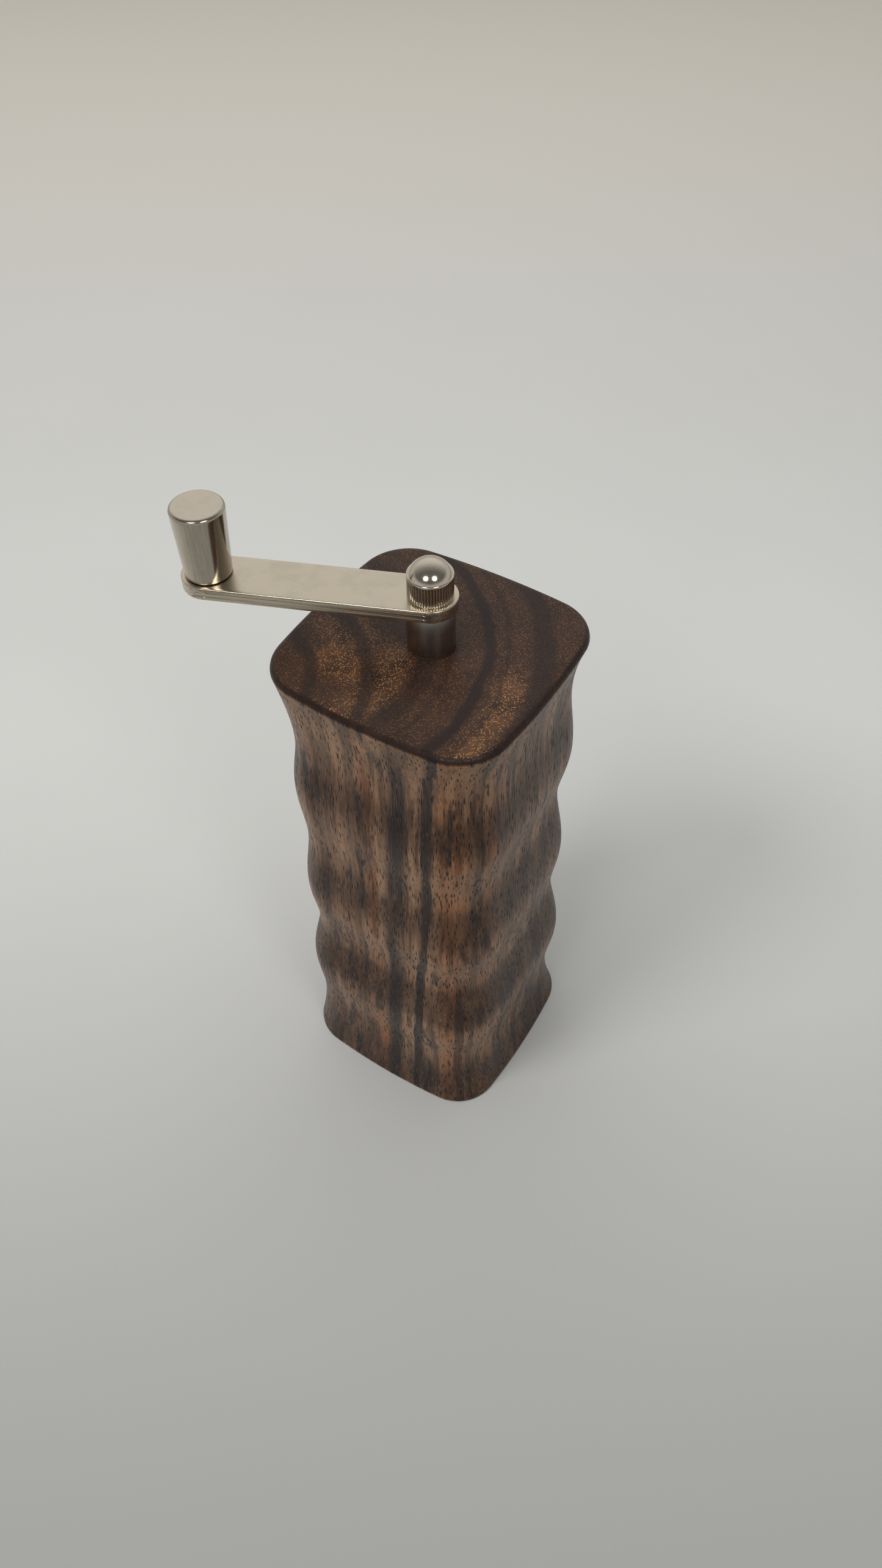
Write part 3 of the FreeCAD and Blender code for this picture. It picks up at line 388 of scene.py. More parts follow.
def arm_rows(sizes):
    """Loops of the arm, u along it and v across: the outline is a slot, two half circles joined
    by straight sides, and the innermost loop runs round the square hole, along the middle line,
    round the pin's hole and back. A face's loops lie evenly between the two. Two grooves run
    along the sides. Returns the loops, turned to the arm's azimuth, and which quads are faces."""
    end, quarter, middle = 48, 24, 40
    length = sizes.arm_length
    square, pin_radius = 2.75, 2.55
    near_end, run_out = 6.0, 0.8

    def sweep(start, stop, steps):
        return np.radians(np.linspace(start, stop, steps, endpoint=False))

    def outline(inset, level, groove=0.0):
        radius = sizes.arm_radius - inset
        left = sweep(90, 270, end)
        along = np.concatenate(
            [
                np.linspace(0, near_end, quarter, endpoint=False),
                np.linspace(near_end, length - near_end, middle, endpoint=False),
                np.linspace(length - near_end, length, quarter, endpoint=False),
            ]
        )
        right = sweep(-90, 90, end)
        fade = groove * np.clip(np.minimum(along, length - along) / run_out, 0, 1)
        far = length + radius * np.cos(right)
        u = np.concatenate([radius * np.cos(left), along, far, length - along])
        v = np.concatenate(
            [radius * np.sin(left), fade - radius, radius * np.sin(right), radius - fade]
        )
        return np.stack([u, v, np.full_like(u, level)], -1)

    def box(angle):
        reach = square / np.maximum(np.abs(np.cos(angle)), np.abs(np.sin(angle)))
        return reach * np.cos(angle), reach * np.sin(angle)

    def holes(level):
        around = np.concatenate([sweep(90, 270, end), sweep(270, 360, quarter)])
        back = sweep(0, 90, quarter)
        pin = np.concatenate(
            [sweep(180, 270, quarter), sweep(270, 450, end), sweep(90, 180, quarter)]
        )
        line = np.linspace(square, length - pin_radius, middle, endpoint=False)
        back_line = np.linspace(length - pin_radius, square, middle, endpoint=False)
        hub_u, hub_v = box(around)
        back_u, back_v = box(back)
        u = np.concatenate([hub_u, line, length + pin_radius * np.cos(pin), back_line, back_u])
        v = np.concatenate([hub_v, 0 * line, pin_radius * np.sin(pin), 0 * back_line, back_v])
        return np.stack([u, v, np.full_like(u, level)], -1)

    low, top, edge = sizes.arm_bottom, sizes.arm_top, sizes.arm_round
    turn = np.linspace(0, math.pi / 2, 5)
    wall = [outline(edge * (1 - math.sin(t)), low + edge * (1 - math.cos(t))) for t in turn]
    mouth, bed = 0.14, 0.07
    for line in (low + 1.15, low + 2.4):
        wall += [
            outline(0, line - mouth),
            outline(0, line - bed, sizes.groove_depth),
            outline(0, line + bed, sizes.groove_depth),
            outline(0, line + mouth),
        ]
    wall += [outline(edge * (1 - math.cos(t)), top - edge + edge * math.sin(t)) for t in turn]
    upper, lower = holes(top), holes(low)
    share = np.linspace(0, 1, 9)[1:, None, None]
    face = wall[-1] + (upper - wall[-1]) * share
    under = lower + (wall[0] - lower) * share[:-1]
    rows = np.concatenate([np.array(wall), face, lower[None], under])
    # between the two faces' holes there is no wall along the middle line
    keep = np.ones(rows.shape[:2], bool)
    between = len(wall) + len(face) - 1
    there = end + quarter
    back = there + middle + quarter + end + quarter
    for start in (there, back):
        keep[between, start : start + middle] = False
    cos, sin = math.cos(ARM_AZIMUTH), math.sin(ARM_AZIMUTH)
    u, v, z = rows[..., 0], rows[..., 1], rows[..., 2]
    return np.stack([u * cos - v * sin, u * sin + v * cos, z], -1), keep


def nut_rows(sizes, base):
    """Loops of the nut, from the dome's pole down the grip and up the blind bore. The dome is
    part of a ball, whose radius is (cap squared plus height squared) over twice the height. The
    grip's radius drops by the knurl depth times the power 1.3 of one minus the size of the sine
    of half the count times the angle."""
    r, grip = sizes.nut_radius, sizes.nut_grip
    edge, bolt, bore_top = 0.35, 2.55, 7.7
    cap = r - edge
    ball = (cap**2 + sizes.nut_dome**2) / (2 * sizes.nut_dome)
    half = math.degrees(math.asin(cap / ball))
    dome = arc((0, base + grip + sizes.nut_dome - ball), ball, 90, 90 - half, 22)
    collar = arc((cap, base + grip - edge), edge, 90, 0, 6)
    knurl_top = base + sizes.nut_knurl_top
    wall = [(r, knurl_top + 0.12), (r, knurl_top + 0.02)]
    ridges = [(r, z) for z in np.linspace(knurl_top - 0.2, base + 0.45, 9)]
    foot = [(r, base + 0.3), (r - 0.08, base + 0.12), (r - 0.3, base)]
    end = base + bore_top
    bore = [(4.2, base), (bolt, base), (bolt, base + 4), (bolt, end), (0, end)]
    profile = np.vstack([dome, collar, wall, ridges, foot, bore])
    around = sizes.knurl_count * 12
    rows = turned_rows(profile, around)
    angle = np.linspace(0, 2 * math.pi, around, endpoint=False)
    notch = (1 - np.abs(np.sin(angle * sizes.knurl_count / 2))) ** 1.3
    start = len(dome) + len(collar) + len(wall)
    scale = 1 - sizes.knurl_depth * notch / r
    rows[start : start + len(ridges), :, :2] *= scale[None, :, None]
    return rows


def handle_rows(sizes, centre):
    """Loops of the handle: a flat top, a round edge, a wall whose radius falls in proportion to
    the way down, and a blind bore, turned about the pin."""
    edge, top = sizes.handle_round, sizes.handle_top
    wide = sizes.handle_top_radius
    flat = [(r, top) for r in (0.0, 1.5, 3.0, 4.5, wide - edge - 0.15)]
    rim = arc((wide - edge, top - edge), edge, 90, 0, 14)
    heights = np.linspace(top - edge, sizes.handle_bottom + 0.25, 20)[1:]
    share = (top - edge - heights) / (top - edge - sizes.handle_bottom)
    wall = np.stack([wide + (sizes.handle_foot_radius - wide) * share, heights], -1)
    foot = [(r, sizes.handle_bottom) for r in (sizes.handle_foot_radius - 0.2, sizes.handle_bore)]
    bore = [(sizes.handle_bore, z) for z in (196.0, 202.0, sizes.handle_bore_top)]
    profile = np.vstack([flat, rim, wall, foot, bore, [(0.0, sizes.handle_bore_top)]])
    return turned_rows(profile, 160, centre)


def tube_profile(inner, outer, low, high, ease):
    """Corners of a tube's wall, with its outer edges eased by a short slope."""
    return [
        (inner, low),
        (outer - ease, low),
        (outer - ease * 0.3, low + ease * 0.3),
        (outer, low + ease),
        (outer, (low + high) / 2),
        (outer, high - ease),
        (outer - ease * 0.3, high - ease * 0.3),
        (outer - ease, high),
        (inner, high),
        (inner, (low + high) / 2),
    ]


# Shader maths


class Value:
    """A number socket, on which + - * and / add Math nodes."""

    def __init__(self, nodes, socket):
        self.nodes, self.socket = nodes, socket

    def math(self, operation, *others, clamp=False):
        return self.nodes.math(operation, self, *others, clamp=clamp)

    def __add__(self, other):
        return self.math("ADD", other)

    def __sub__(self, other):
        return self.math("SUBTRACT", other)

    def __rsub__(self, other):
        return self.nodes.math("SUBTRACT", other, self)

    def __mul__(self, other):
        return self.math("MULTIPLY", other)

    def __truediv__(self, other):
        return self.math("DIVIDE", other)

    def __rtruediv__(self, other):
        return self.nodes.math("DIVIDE", other, self)

    __radd__, __rmul__ = __add__, __mul__

    def size(self):
        """The number without its sign."""
        return self.math("ABSOLUTE")

    def clamped(self):
        """The number kept from 0 to 1."""
        return self.math("ADD", 0.0, clamp=True)

    def ramp(self, low, high):
        """0 below low, 1 above high, with an even slope between; high may be the lower."""
        return ((self - low) / (high - low)).clamped()

    def ease(self, low, high):
        """ramp with soft ends: three squares minus two cubes."""
        t = self.ramp(low, high)
        return t * t * (3.0 - t * 2.0)

    def stripe(self, middle, half, soft):
        """1 within half of middle, falling softly to 0 over soft."""
        return (self - middle).size().ease(half + soft, half)

    def most(self, other):
        """The larger of the two numbers."""
        return self.math("MAXIMUM", other)


class Nodes:
    """A node tree, of a material or of the room."""

    def __init__(self, tree):
        self.tree = tree

    def node(self, kind, settings=None, inputs=None, output=0):
        """Add a node: its settings first, then the values or links of its sockets."""
        made = self.tree.nodes.new(kind)
        for key, value in (settings or {}).items():
            if key == "stops":
                while len(made.color_ramp.elements) < len(value):
                    made.color_ramp.elements.new(0.5)
                for element, (place, colour) in zip(made.color_ramp.elements, value):
                    element.position, element.color = place, (*colour, 1.0)
            else:
                setattr(made, key, value)
        for key, value in (inputs or {}).items():
            self.feed(made.inputs[key], value)
        socket = made.outputs[output]
        return Value(self, socket) if socket.type == "VALUE" else socket

    def feed(self, socket, value):
        """Link a socket or set its own value."""
        source = value.socket if isinstance(value, Value) else value
        if isinstance(source, bpy.types.NodeSocket):
            self.tree.links.new(source, socket)
        elif socket.type == "RGBA" and len(source) == 3:
            socket.default_value = (*source, 1.0)
        else:
            socket.default_value = source

    def math(self, operation, *values, clamp=False):
        """A Math node on values."""
        settings = {"operation": operation, "use_clamp": clamp}
        return self.node("ShaderNodeMath", settings, dict(enumerate(values)))

    def vector(self, operation, first, inputs, output="Vector"):
        """A Vector Math node on a vector."""
        settings = {"operation": operation}
        return self.node("ShaderNodeVectorMath", settings, {0: first, **inputs}, output)

    def parts(self, vector):
        """The x, y and z of a vector."""
        first = self.node("ShaderNodeSeparateXYZ", None, {0: vector})
        return tuple(Value(self, socket) for socket in first.socket.node.outputs)

    def mix(self, share, first, second):
        """first where share is 0, second where it is 1."""
        inputs = {0: share, 6: first, 7: second}
        return self.node("ShaderNodeMix", {"data_type": "RGBA"}, inputs, 2)


class Paint(Nodes):
    """One material: its nodes, the point in millimetres, and the shader that they feed."""

    def __init__(self, name):
        self.material = bpy.data.materials.new(name)
        self.material.use_nodes = True
        super().__init__(self.material.node_tree)
        self.shader = self.tree.nodes["Principled BSDF"]
        place = self.node("ShaderNodeTexCoord", output="Object")
        self.point = self.vector("SCALE", place, {"Scale": 1.0 / MM})

    def axes(self):
        """x, y and z in millimetres."""
        return self.parts(self.point)

    def upward(self):
        """How far the surface faces up: the z of its normal."""
        return self.parts(self.node("ShaderNodeNewGeometry", output="Normal"))[2]

    def stretched(self, across, along):
        """The point with x and y times across and z times along."""
        return self.vector("MULTIPLY", self.point, {1: (across, across, along)})

    def joined(self, x, y, z=0.0):
        """A vector from three numbers."""
        return self.node("ShaderNodeCombineXYZ", None, {0: x, 1: y, 2: z}, "Vector")

    def noise(self, vector, scale=1.0, detail=3.0, rough=0.55):
        """Soft noise around one half."""
        inputs = {"Vector": vector, "Scale": scale, "Detail": detail, "Roughness": rough}
        return self.node("ShaderNodeTexNoise", {"noise_dimensions": "3D"}, inputs, "Fac")

    def cells(self, vector, scale=1.0):
        """Distance to the nearest of scattered points."""
        inputs = {"Vector": vector, "Scale": scale}
        return self.node("ShaderNodeTexVoronoi", {"feature": "F1"}, inputs, "Distance")

    def bump(self, height, depth, strength):
        """Feed the Normal from a height, which is depth millimetres for each one."""
        inputs = {"Height": height, "Strength": strength, "Distance": depth * MM}
        self.feed(self.shader.inputs["Normal"], self.node("ShaderNodeBump", None, inputs))

    def finish(self, **sockets):
        """Feed the shader's sockets, named with _ for a space, and return the material."""
        for key, value in sockets.items():
            self.feed(self.shader.inputs[key.replace("_", " ")], value)
        return self.material


def darker(colour, share):
    """A colour times a share."""
    return tuple(channel * share for channel in colour)


# Wood

# Dark growth bands on the sides: polar angle at the top and at the foot, half width, softness
# (degrees), strength, and how patchy the band is.
SIDE_BANDS = (
    (-57.9, -69.5, 1.5, 1.3, 1.0, 0.1),
    (-72.0, -83.5, 2.0, 6.0, 1.0, 0.6),
    (-98.0, -104.0, 1.4, 2.4, 0.6, 0.7),
    (-115.0, -121.0, 3.5, 3.0, 0.55, 0.7),
    (-40.0, -42.0, 0.8, 1.2, 0.6, 0.5),
    (-2.0, -6.0, 1.5, 2.0, 0.45, 0.6),
    (20.0, 12.0, 2.5, 2.5, 0.6, 0.5),
    (52.0, 44.0, 2.0, 2.0, 0.8, 0.3),
    (76.0, 70.0, 3.5, 3.0, 0.6, 0.6),
    (99.0, 92.0, 1.5, 1.8, 0.7, 0.4),
    (121.0, 116.0, 3.0, 2.0, 0.8, 0.3),
    (150.0, 146.0, 2.0, 2.4, 0.6, 0.6),
    (172.0, 168.0, 3.5, 3.0, 0.7, 0.5),
    (-160.0, -163.0, 2.0, 2.0, 0.8, 0.4),
    (-141.0, -145.0, 2.5, 2.5, 0.55, 0.6),
)
# Middle of the top's rings, beyond the block's edge, and of the two rings that stray from it.
PITH = (-35.7, -20.6)
STRAY_PITH = (-40.0, -40.0)
# Dark rings on the top: middle, radius, half width, softness (mm), strength.
TOP_RINGS = (
    (PITH, 56.5, 0.8, 1.5, 1.0),
    (PITH, 70.5, 1.6, 2.8, 0.8),
    (PITH, 41.0, 1.2, 3.2, 0.6),
    (PITH, 47.0, 0.4, 0.9, 0.4),
    (PITH, 61.5, 0.4, 0.7, 0.5),
    (STRAY_PITH, 39.0, 0.9, 2.2, 0.85),
    (STRAY_PITH, 25.0, 0.8, 2.2, 0.8),
    (PITH, 84.0, 1.5, 1.5, 0.6),
    (PITH, 91.0, 3.0, 2.0, 0.5),
)


def side_bands(angle, rise, patch):
    """The growth bands together: each is a stripe of the polar angle that drifts from its
    angle at the top to the one at the foot, and is thinned where patch is low."""
    dark = None
    for top, foot, half, soft, strength, patchy in SIDE_BANDS:
        band = angle.stripe(rise * (foot - top) + top, half, soft)
        band = band * ((1.0 - patch.ease(0.62, 0.40) * patchy) * strength)
        dark = band if dark is None else dark.most(band)
    return dark


def side_grain(paint, finishes, fibre):
    """Colour and pores of the sides: streaks drawn out upright, dark bands, warm streaks, painted
    shade on slopes that face up, a painted sheen on slopes that face down, and pores."""
    x, y, z = paint.axes()
    polar = paint.math("ARCTAN2", y, x) * (180.0 / math.pi)
    rise = (BLOCK_TOP - z) / BLOCK_TOP
    slow = paint.noise(paint.stretched(0.045, 0.016), detail=3.0)
    quick = paint.noise(paint.stretched(0.16, 0.05), detail=2.0)
    patch = paint.noise(paint.stretched(0.10, 0.022), detail=4.0)
    streak = paint.noise(paint.stretched(0.55, 0.016), detail=5.0, rough=0.62)
    broad = paint.noise(paint.stretched(0.075, 0.006), detail=2.0)
    wander = (slow - 0.5) * 4.0 + (quick - 0.5) * 3.5
    angle = polar + wander + (streak - 0.5) * 7.0 + (fibre - 0.5) * 3.0

    # the wide grey band of the right face snakes as it falls
    snake = angle.stripe(rise * -17.0 - 9.5 + (slow - 0.5) * 26.0, 3.0, 4.2) * 0.36
    low_streak = angle.stripe(-47.0, 1.0, 1.6) * z.ease(84.0, 60.0) * 0.7
    blotch = paint.noise(paint.stretched(0.19, 0.032), detail=5.0, rough=0.66)
    dark = side_bands(angle, rise, patch).most(snake).most(low_streak)
    dark = dark.most(blotch.ease(0.48, 0.66) * 0.86)
    feather = (streak - 0.5) * 1.3 + (fibre - 0.5) * 0.9
    dark = (dark + dark * feather).clamped()

    warm = angle.stripe(-91.0, 2.2, 3.0) * 0.8
    warm = warm.most(angle.stripe(-50.5, 3.5, 4.0) * 0.8)
    warm = warm.most(angle.stripe(-31.0, 4.0, 4.0) * 0.6)
    warm = warm * (0.45 + patch.ease(0.30, 0.7) * 0.55)

    slope = paint.upward()
    tone = streak * 0.85 + broad * 0.55 - 0.20
    side = paint.mix(tone.ease(0.30, 0.78), finishes.wood_mid, finishes.wood_light)
    side = paint.mix(warm * 0.6, side, finishes.wood_orange)
    side = paint.mix(streak.ease(0.52, 0.30) * 0.55, side, finishes.wood_dark)
    # painted shade: slopes that face up are painted darker, in place of the dark room that the
    # satin finish reflects there
    side = paint.mix(slope.ease(-0.01, 0.12) * 0.68, side, finishes.wood_slope_shade)
    # painted sheen: slopes that face down are painted lighter, in place of the pale floor that the
    # satin finish reflects there
    side = paint.mix(slope.ease(0.0, -0.12) * 0.30, side, finishes.wood_light)
    side = paint.mix(dark * 0.95, side, finishes.wood_dark)
    side = paint.mix(fibre.ease(0.55, 0.75) * 0.45, side, finishes.wood_light)

    # pores: dark dashes along the grain
    pores = paint.cells(paint.stretched(1.5, 0.19)).ease(0.40, 0.20)
    pores = pores * paint.noise(paint.stretched(0.35, 0.05)).ease(0.36, 0.50)
    fine = paint.cells(paint.stretched(2.6, 0.30)).ease(0.32, 0.14)
    pores = pores.most(fine * 0.7)
    return paint.mix(pores * 0.85, side, finishes.wood_pore), pores


def end_grain(paint, finishes):
    """Colour of the top: clouds, dark rings by the distance from their middle, and golden
    flecks in zones between them."""
    x, y = paint.axes()[:2]
    flat = paint.stretched(1.0, 0.0)
    ripple = (paint.noise(paint.stretched(0.07, 0.0), detail=3.0) - 0.5) * 5.0

    def reach(middle):
        across, deep = x - middle[0], y - middle[1]
        return (across * across + deep * deep).math("SQRT") + ripple

    far = {middle: reach(middle) for middle in (PITH, STRAY_PITH)}
    rings = None
    for middle, radius, half, soft, strength in TOP_RINGS:
        ring = far[middle].stripe(radius, half, soft) * strength
        rings = ring if rings is None else rings.most(ring)

    cloud = paint.noise(paint.stretched(0.12, 0.0), detail=6.0, rough=0.62)
    grit = paint.noise(paint.stretched(3.2, 0.0), detail=2.0, rough=0.6)
    end = paint.mix(
        (cloud * 0.6 + grit * 0.4).ease(0.30, 0.66), finishes.end_base, finishes.end_mid
    )
    pith = far[PITH]
    zone = pith.stripe(64.5, 1.5, 4.5) * y.ease(8.0, -6.0)
    zone = zone.most(pith.stripe(20.0, 4.0, 8.0) * y.stripe(-12.0, 7.0, 8.0))
    zone = zone.most(pith.stripe(33.0, 2.0, 6.0) * y.ease(2.0, -10.0) * 0.8)
    end = paint.mix(zone * cloud.ease(0.30, 0.65) * 0.55, end, finishes.end_gold)
    flecks = paint.cells(flat, 1.9).ease(0.42, 0.16)
    end = paint.mix(flecks * (0.26 + zone * 0.66), end, finishes.end_fleck)
    end = paint.mix(rings * (0.70 + cloud * 0.35), end, finishes.end_dark)
    pores = paint.cells(flat, 2.4).ease(0.28, 0.10)
    return paint.mix(pores * 0.5, end, finishes.end_pore)


def walnut(finishes):
    """Oiled walnut: the sides' grain, the top's end grain, a dark eased rim between them, and
    plainer wood inside the block."""
    paint = Paint("walnut_oiled")
    x, y, z = paint.axes()
    fibre = paint.noise(paint.stretched(2.6, 0.07), detail=4.0, rough=0.6)
    side, pores = side_grain(paint, finishes, fibre)
    on_top = z.ease(BLOCK_TOP - 0.4, BLOCK_TOP - 0.05)
    colour = paint.mix(z.ramp(172.75, 172.95) * 0.85, side, finishes.wood_rim)
    colour = paint.mix(on_top, colour, end_grain(paint, finishes))
    inside = (x * x + y * y).math("SQRT").ramp(25.6, 25.2) * z.ramp(174.25, 174.2)
    colour = paint.mix(inside * 0.35, colour, finishes.wood_mid)
    paint.bump(fibre * 0.5 - pores * (1.0 - on_top), 0.08, 0.6)
    rough = 0.30 + fibre * 0.10 + pores * 0.20 + on_top * 0.02
    return paint.finish(Base_Color=colour, Roughness=rough, IOR=1.34)


# Metals and the rest


def brushed(name, colour, rough, across, along, depth=0.01, dull=0.0):
    """A metal with fine marks: noise squeezed across and drawn out along the grain."""
    paint = Paint(name)
    marks = paint.noise(paint.stretched(across, along), detail=4.0)
    cloud = paint.noise(paint.point, 0.35, detail=4.0)
    base = paint.mix(cloud.ease(0.35, 0.68) * 0.35 + dull, colour, darker(colour, 0.72))
    paint.bump(marks, depth, 0.6)
    roughness = rough + (marks - 0.5) * 0.16 + (cloud - 0.5) * 0.12
    return paint.finish(Base_Color=base, Roughness=roughness, Metallic=1.0)


def satin_plate(colour):
    """The arm's plate: faint mottling, and a grain drawn out along the arm that is deepest on
    its sides."""
    paint = Paint("arm_satin")
    x, y, z = paint.axes()
    cos, sin = math.cos(ARM_AZIMUTH), math.sin(ARM_AZIMUTH)
    along, across = x * cos + y * sin, y * cos - x * sin
    grain = paint.noise(paint.joined(along * 0.03, across * 2.6, z * 2.4), 1.0, detail=4.0)
    mottle = paint.noise(paint.point, 0.16, detail=5.0, rough=0.55)
    side = paint.upward().size().ease(0.55, 0.25)
    base = paint.mix(mottle.ease(0.46, 0.62) * 0.30, colour, darker(colour, 0.80))
    base = paint.mix(side * grain.ease(0.56, 0.40) * 0.60, base, darker(colour, 0.22))
    paint.bump(grain * (0.2 + side * 0.5), 0.003, 0.4)
    roughness = 0.27 + (mottle - 0.5) * 0.12 + (grain - 0.5) * 0.06
    return paint.finish(Base_Color=base, Roughness=roughness, Metallic=1.0)


def turned_metal(name, colour, centre, rough, face_rough, painted_wall_reflection=0.0, knurl=None):
    """Turned metal: circles about its axis on flat faces, rings round its wall. A knurl is its
    count and the heights it lies between, and its grooves get a painted shade. The wall is darkened
    by brushed streaks and by a painted dark reflection of the given share."""
    paint = Paint(name)
    x, y, z = paint.axes()
    x, y = x - centre[0], y - centre[1]
    radius = (x * x + y * y).math("SQRT")
    marks = paint.noise(paint.joined(radius * 7.0, z * 7.0), 1.0, detail=3.0)
    cloud = paint.noise(paint.point, 0.5, detail=4.0)
    brush = paint.noise(paint.stretched(2.2, 0.06), detail=4.0, rough=0.6)
    face = paint.upward().size().ease(0.90, 0.99)
    # the wall is darkened by brushed streaks and, by the given share, a painted dark reflection
    wall = ((1.0 - face) * (painted_wall_reflection + (brush - 0.5) * 0.9)).clamped()
    base = paint.mix(cloud.ease(0.35, 0.7) * 0.25, colour, darker(colour, 0.78))
    base = paint.mix(wall, base, darker(colour, 0.45))
    if knurl:
        count, low, high = knurl
        # painted shade: the knurl's grooves are painted darker
        groove = 1.0 - (paint.math("ARCTAN2", y, x) * (count / 2)).math("SINE").size()
        groove = groove.ease(0.25, 0.85) * z.ramp(high, high - 0.1) * z.ramp(low, low + 0.1)
        base = paint.mix(groove * 0.62, base, darker(colour, 0.20))
    paint.bump(marks * (0.15 + face * 0.85), 0.008, 0.5)
    roughness = rough + face * (face_rough - rough) + (marks - 0.5) * 0.08
    return paint.finish(Base_Color=base, Roughness=roughness, Metallic=1.0)


def moulded(name, colour, rough, grain=6.0):
    """Moulded plastic or rubber: a fine even texture and slight clouding."""
    paint = Paint(name)
    cloud = paint.noise(paint.point, 0.25, detail=3.0)
    grit = paint.noise(paint.point, grain, detail=2.0)
    base = paint.mix(cloud.ease(0.3, 0.7) * 0.4, colour, darker(colour, 0.75))
    paint.bump(grit, 0.02, 0.5)
    return paint.finish(Base_Color=base, Roughness=rough + (grit - 0.5) * 0.12)


def coat(piece, material):
    """Put one material on a piece."""
    if piece.material_slots:
        for slot in piece.material_slots:
            slot.material = material
    else:
        piece.data.materials.append(material)


def pin_centre():
    """Middle of the handle's pin, in millimetres."""
    low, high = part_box("handle_pin")
    middle = (low + high) / 2.0 / MM
    return middle[0], middle[1]


# Operators


class MILL_OT_block(bpy.types.Operator):
    """Build the walnut block"""

    bl_idname = "mill.block"
    bl_label = "Walnut block"

    def execute(self, context):
        rows = block_rows(context.scene.mill_block)
        piece = grid_mesh("walnut_block", rows, "mill_body", ["body_block"])
        coat(piece, walnut(context.scene.mill_finishes))
        return {"FINISHED"}


class MILL_OT_crank(bpy.types.Operator):
    """Build the sleeve and the arm"""

    bl_idname = "mill.crank"
    bl_label = "Sleeve and arm"

    def execute(self, context):
        sizes, finishes = context.scene.mill_crank, context.scene.mill_finishes
        profile = tube_profile(
            sizes.sleeve_bore, sizes.sleeve_radius, sizes.sleeve_bottom, sizes.arm_bottom, 0.3
        )
        sleeve = grid_mesh(
            "sleeve_tube", turned_rows(profile, 128), "crank", ["spacer_sleeve"]
        )
        coat(sleeve, turned_metal("sleeve_steel", finishes.dark_steel, (0, 0), 0.30, 0.3))
        rows, keep = arm_rows(sizes)
        arm = grid_mesh(
            "arm_plate", rows, "crank", ["crank_arm"], keep=keep, crease=30
        )
        coat(arm, satin_plate(finishes.arm))
        return {"FINISHED"}


class MILL_OT_nut(bpy.types.Operator):
    """Build the knurled adjusting nut"""

    bl_idname = "mill.nut"
    bl_label = "Adjusting nut"

    def execute(self, context):
        sizes, finishes = context.scene.mill_crank, context.scene.mill_finishes
        rows = nut_rows(sizes, sizes.arm_top)
        nut = grid_mesh(
            "knurled_nut", rows, "adjuster", ["adjusting_nut"], wrap=False, crease=50
        )
        # the nut's look paints shade into the grooves between these ridges
        ridges = (sizes.knurl_count, sizes.arm_top + 0.3, sizes.arm_top + sizes.nut_knurl_top)
        look = turned_metal("nut_polished", finishes.bright, (0, 0), 0.14, 0.12, 0.0, ridges)
        coat(nut, look)
        return {"FINISHED"}


class MILL_OT_handle(bpy.types.Operator):
    """Build the turned handle"""

    bl_idname = "mill.handle"
    bl_label = "Handle"

    def execute(self, context):
        sizes, finishes = context.scene.mill_crank, context.scene.mill_finishes
        centre = pin_centre()
        rows = handle_rows(sizes, centre)
        handle = grid_mesh(
            "handle_turned", rows, "handle", ["handle_shell"], wrap=False
        )
        # the handle's wall gets a painted dark reflection of 0.45
        coat(handle, turned_metal("handle_satin", finishes.bright, centre, 0.17, 0.32, 0.45))
        return {"FINISHED"}


class MILL_OT_fittings(bpy.types.Operator):
    """Give every other piece its finish"""

    bl_idname = "mill.fittings"
    bl_label = "Fittings"

    def execute(self, context):
        finishes = context.scene.mill_finishes
        steel, alloy, spring = finishes.steel, finishes.alloy, finishes.spring
        # the slots of the remade pieces have no look here
        looks = {
            "brass": brushed("brass_turned", finishes.brass, 0.30, 3.0, 3.0),
            "nylon": moulded("nylon_dark", finishes.nylon, 0.45),
            "shaft_steel": brushed("shaft_steel", steel, 0.25, 6.0, 1.0),
            "spring_steel": brushed("spring_steel", spring, 0.30, 5.0, 5.0),
            "burr_steel": brushed("burr_steel", finishes.burr, 0.42, 3.0, 3.0, 0.03, 0.2),
            "screw_steel": brushed("screw_steel", steel, 0.30, 4.0, 4.0),
            "carrier_alloy": brushed("carrier_alloy", alloy, 0.45, 2.0, 2.0, 0.03),
            "cup_plastic": moulded("cup_plastic", finishes.cup, 0.42),
            "seal_rubber": moulded("seal_rubber", finishes.seal, 0.70, 3.0),
        }
        for row in frame["record"]["subparts"]:
            if row["material_slot"] in looks:
                coat(frame["nodes"][row["node"]], looks[row["material_slot"]])
        self.wind_spring(frame["nodes"]["burr_spring"], looks["spring_steel"])
        return {"FINISHED"}

    def wind_spring(self, node, look):
        """A copy of the spring, which bears on the spider: its coinciding points are merged, its
        place is applied to its points, it gets the spring's look, and the original is hidden."""
        work = bmesh.new()
        work.from_mesh(node.data)
        bmesh.ops.remove_doubles(work, verts=work.verts, dist=WELD)
        mesh = bpy.data.meshes.new("wound_spring")
        work.to_mesh(mesh)
        work.free()
        spring = bpy.data.objects.new("wound_spring", mesh)
        bpy.context.scene.collection.objects.link(spring)
        coat(spring, look)
        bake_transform(spring)
        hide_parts("burr_spring")


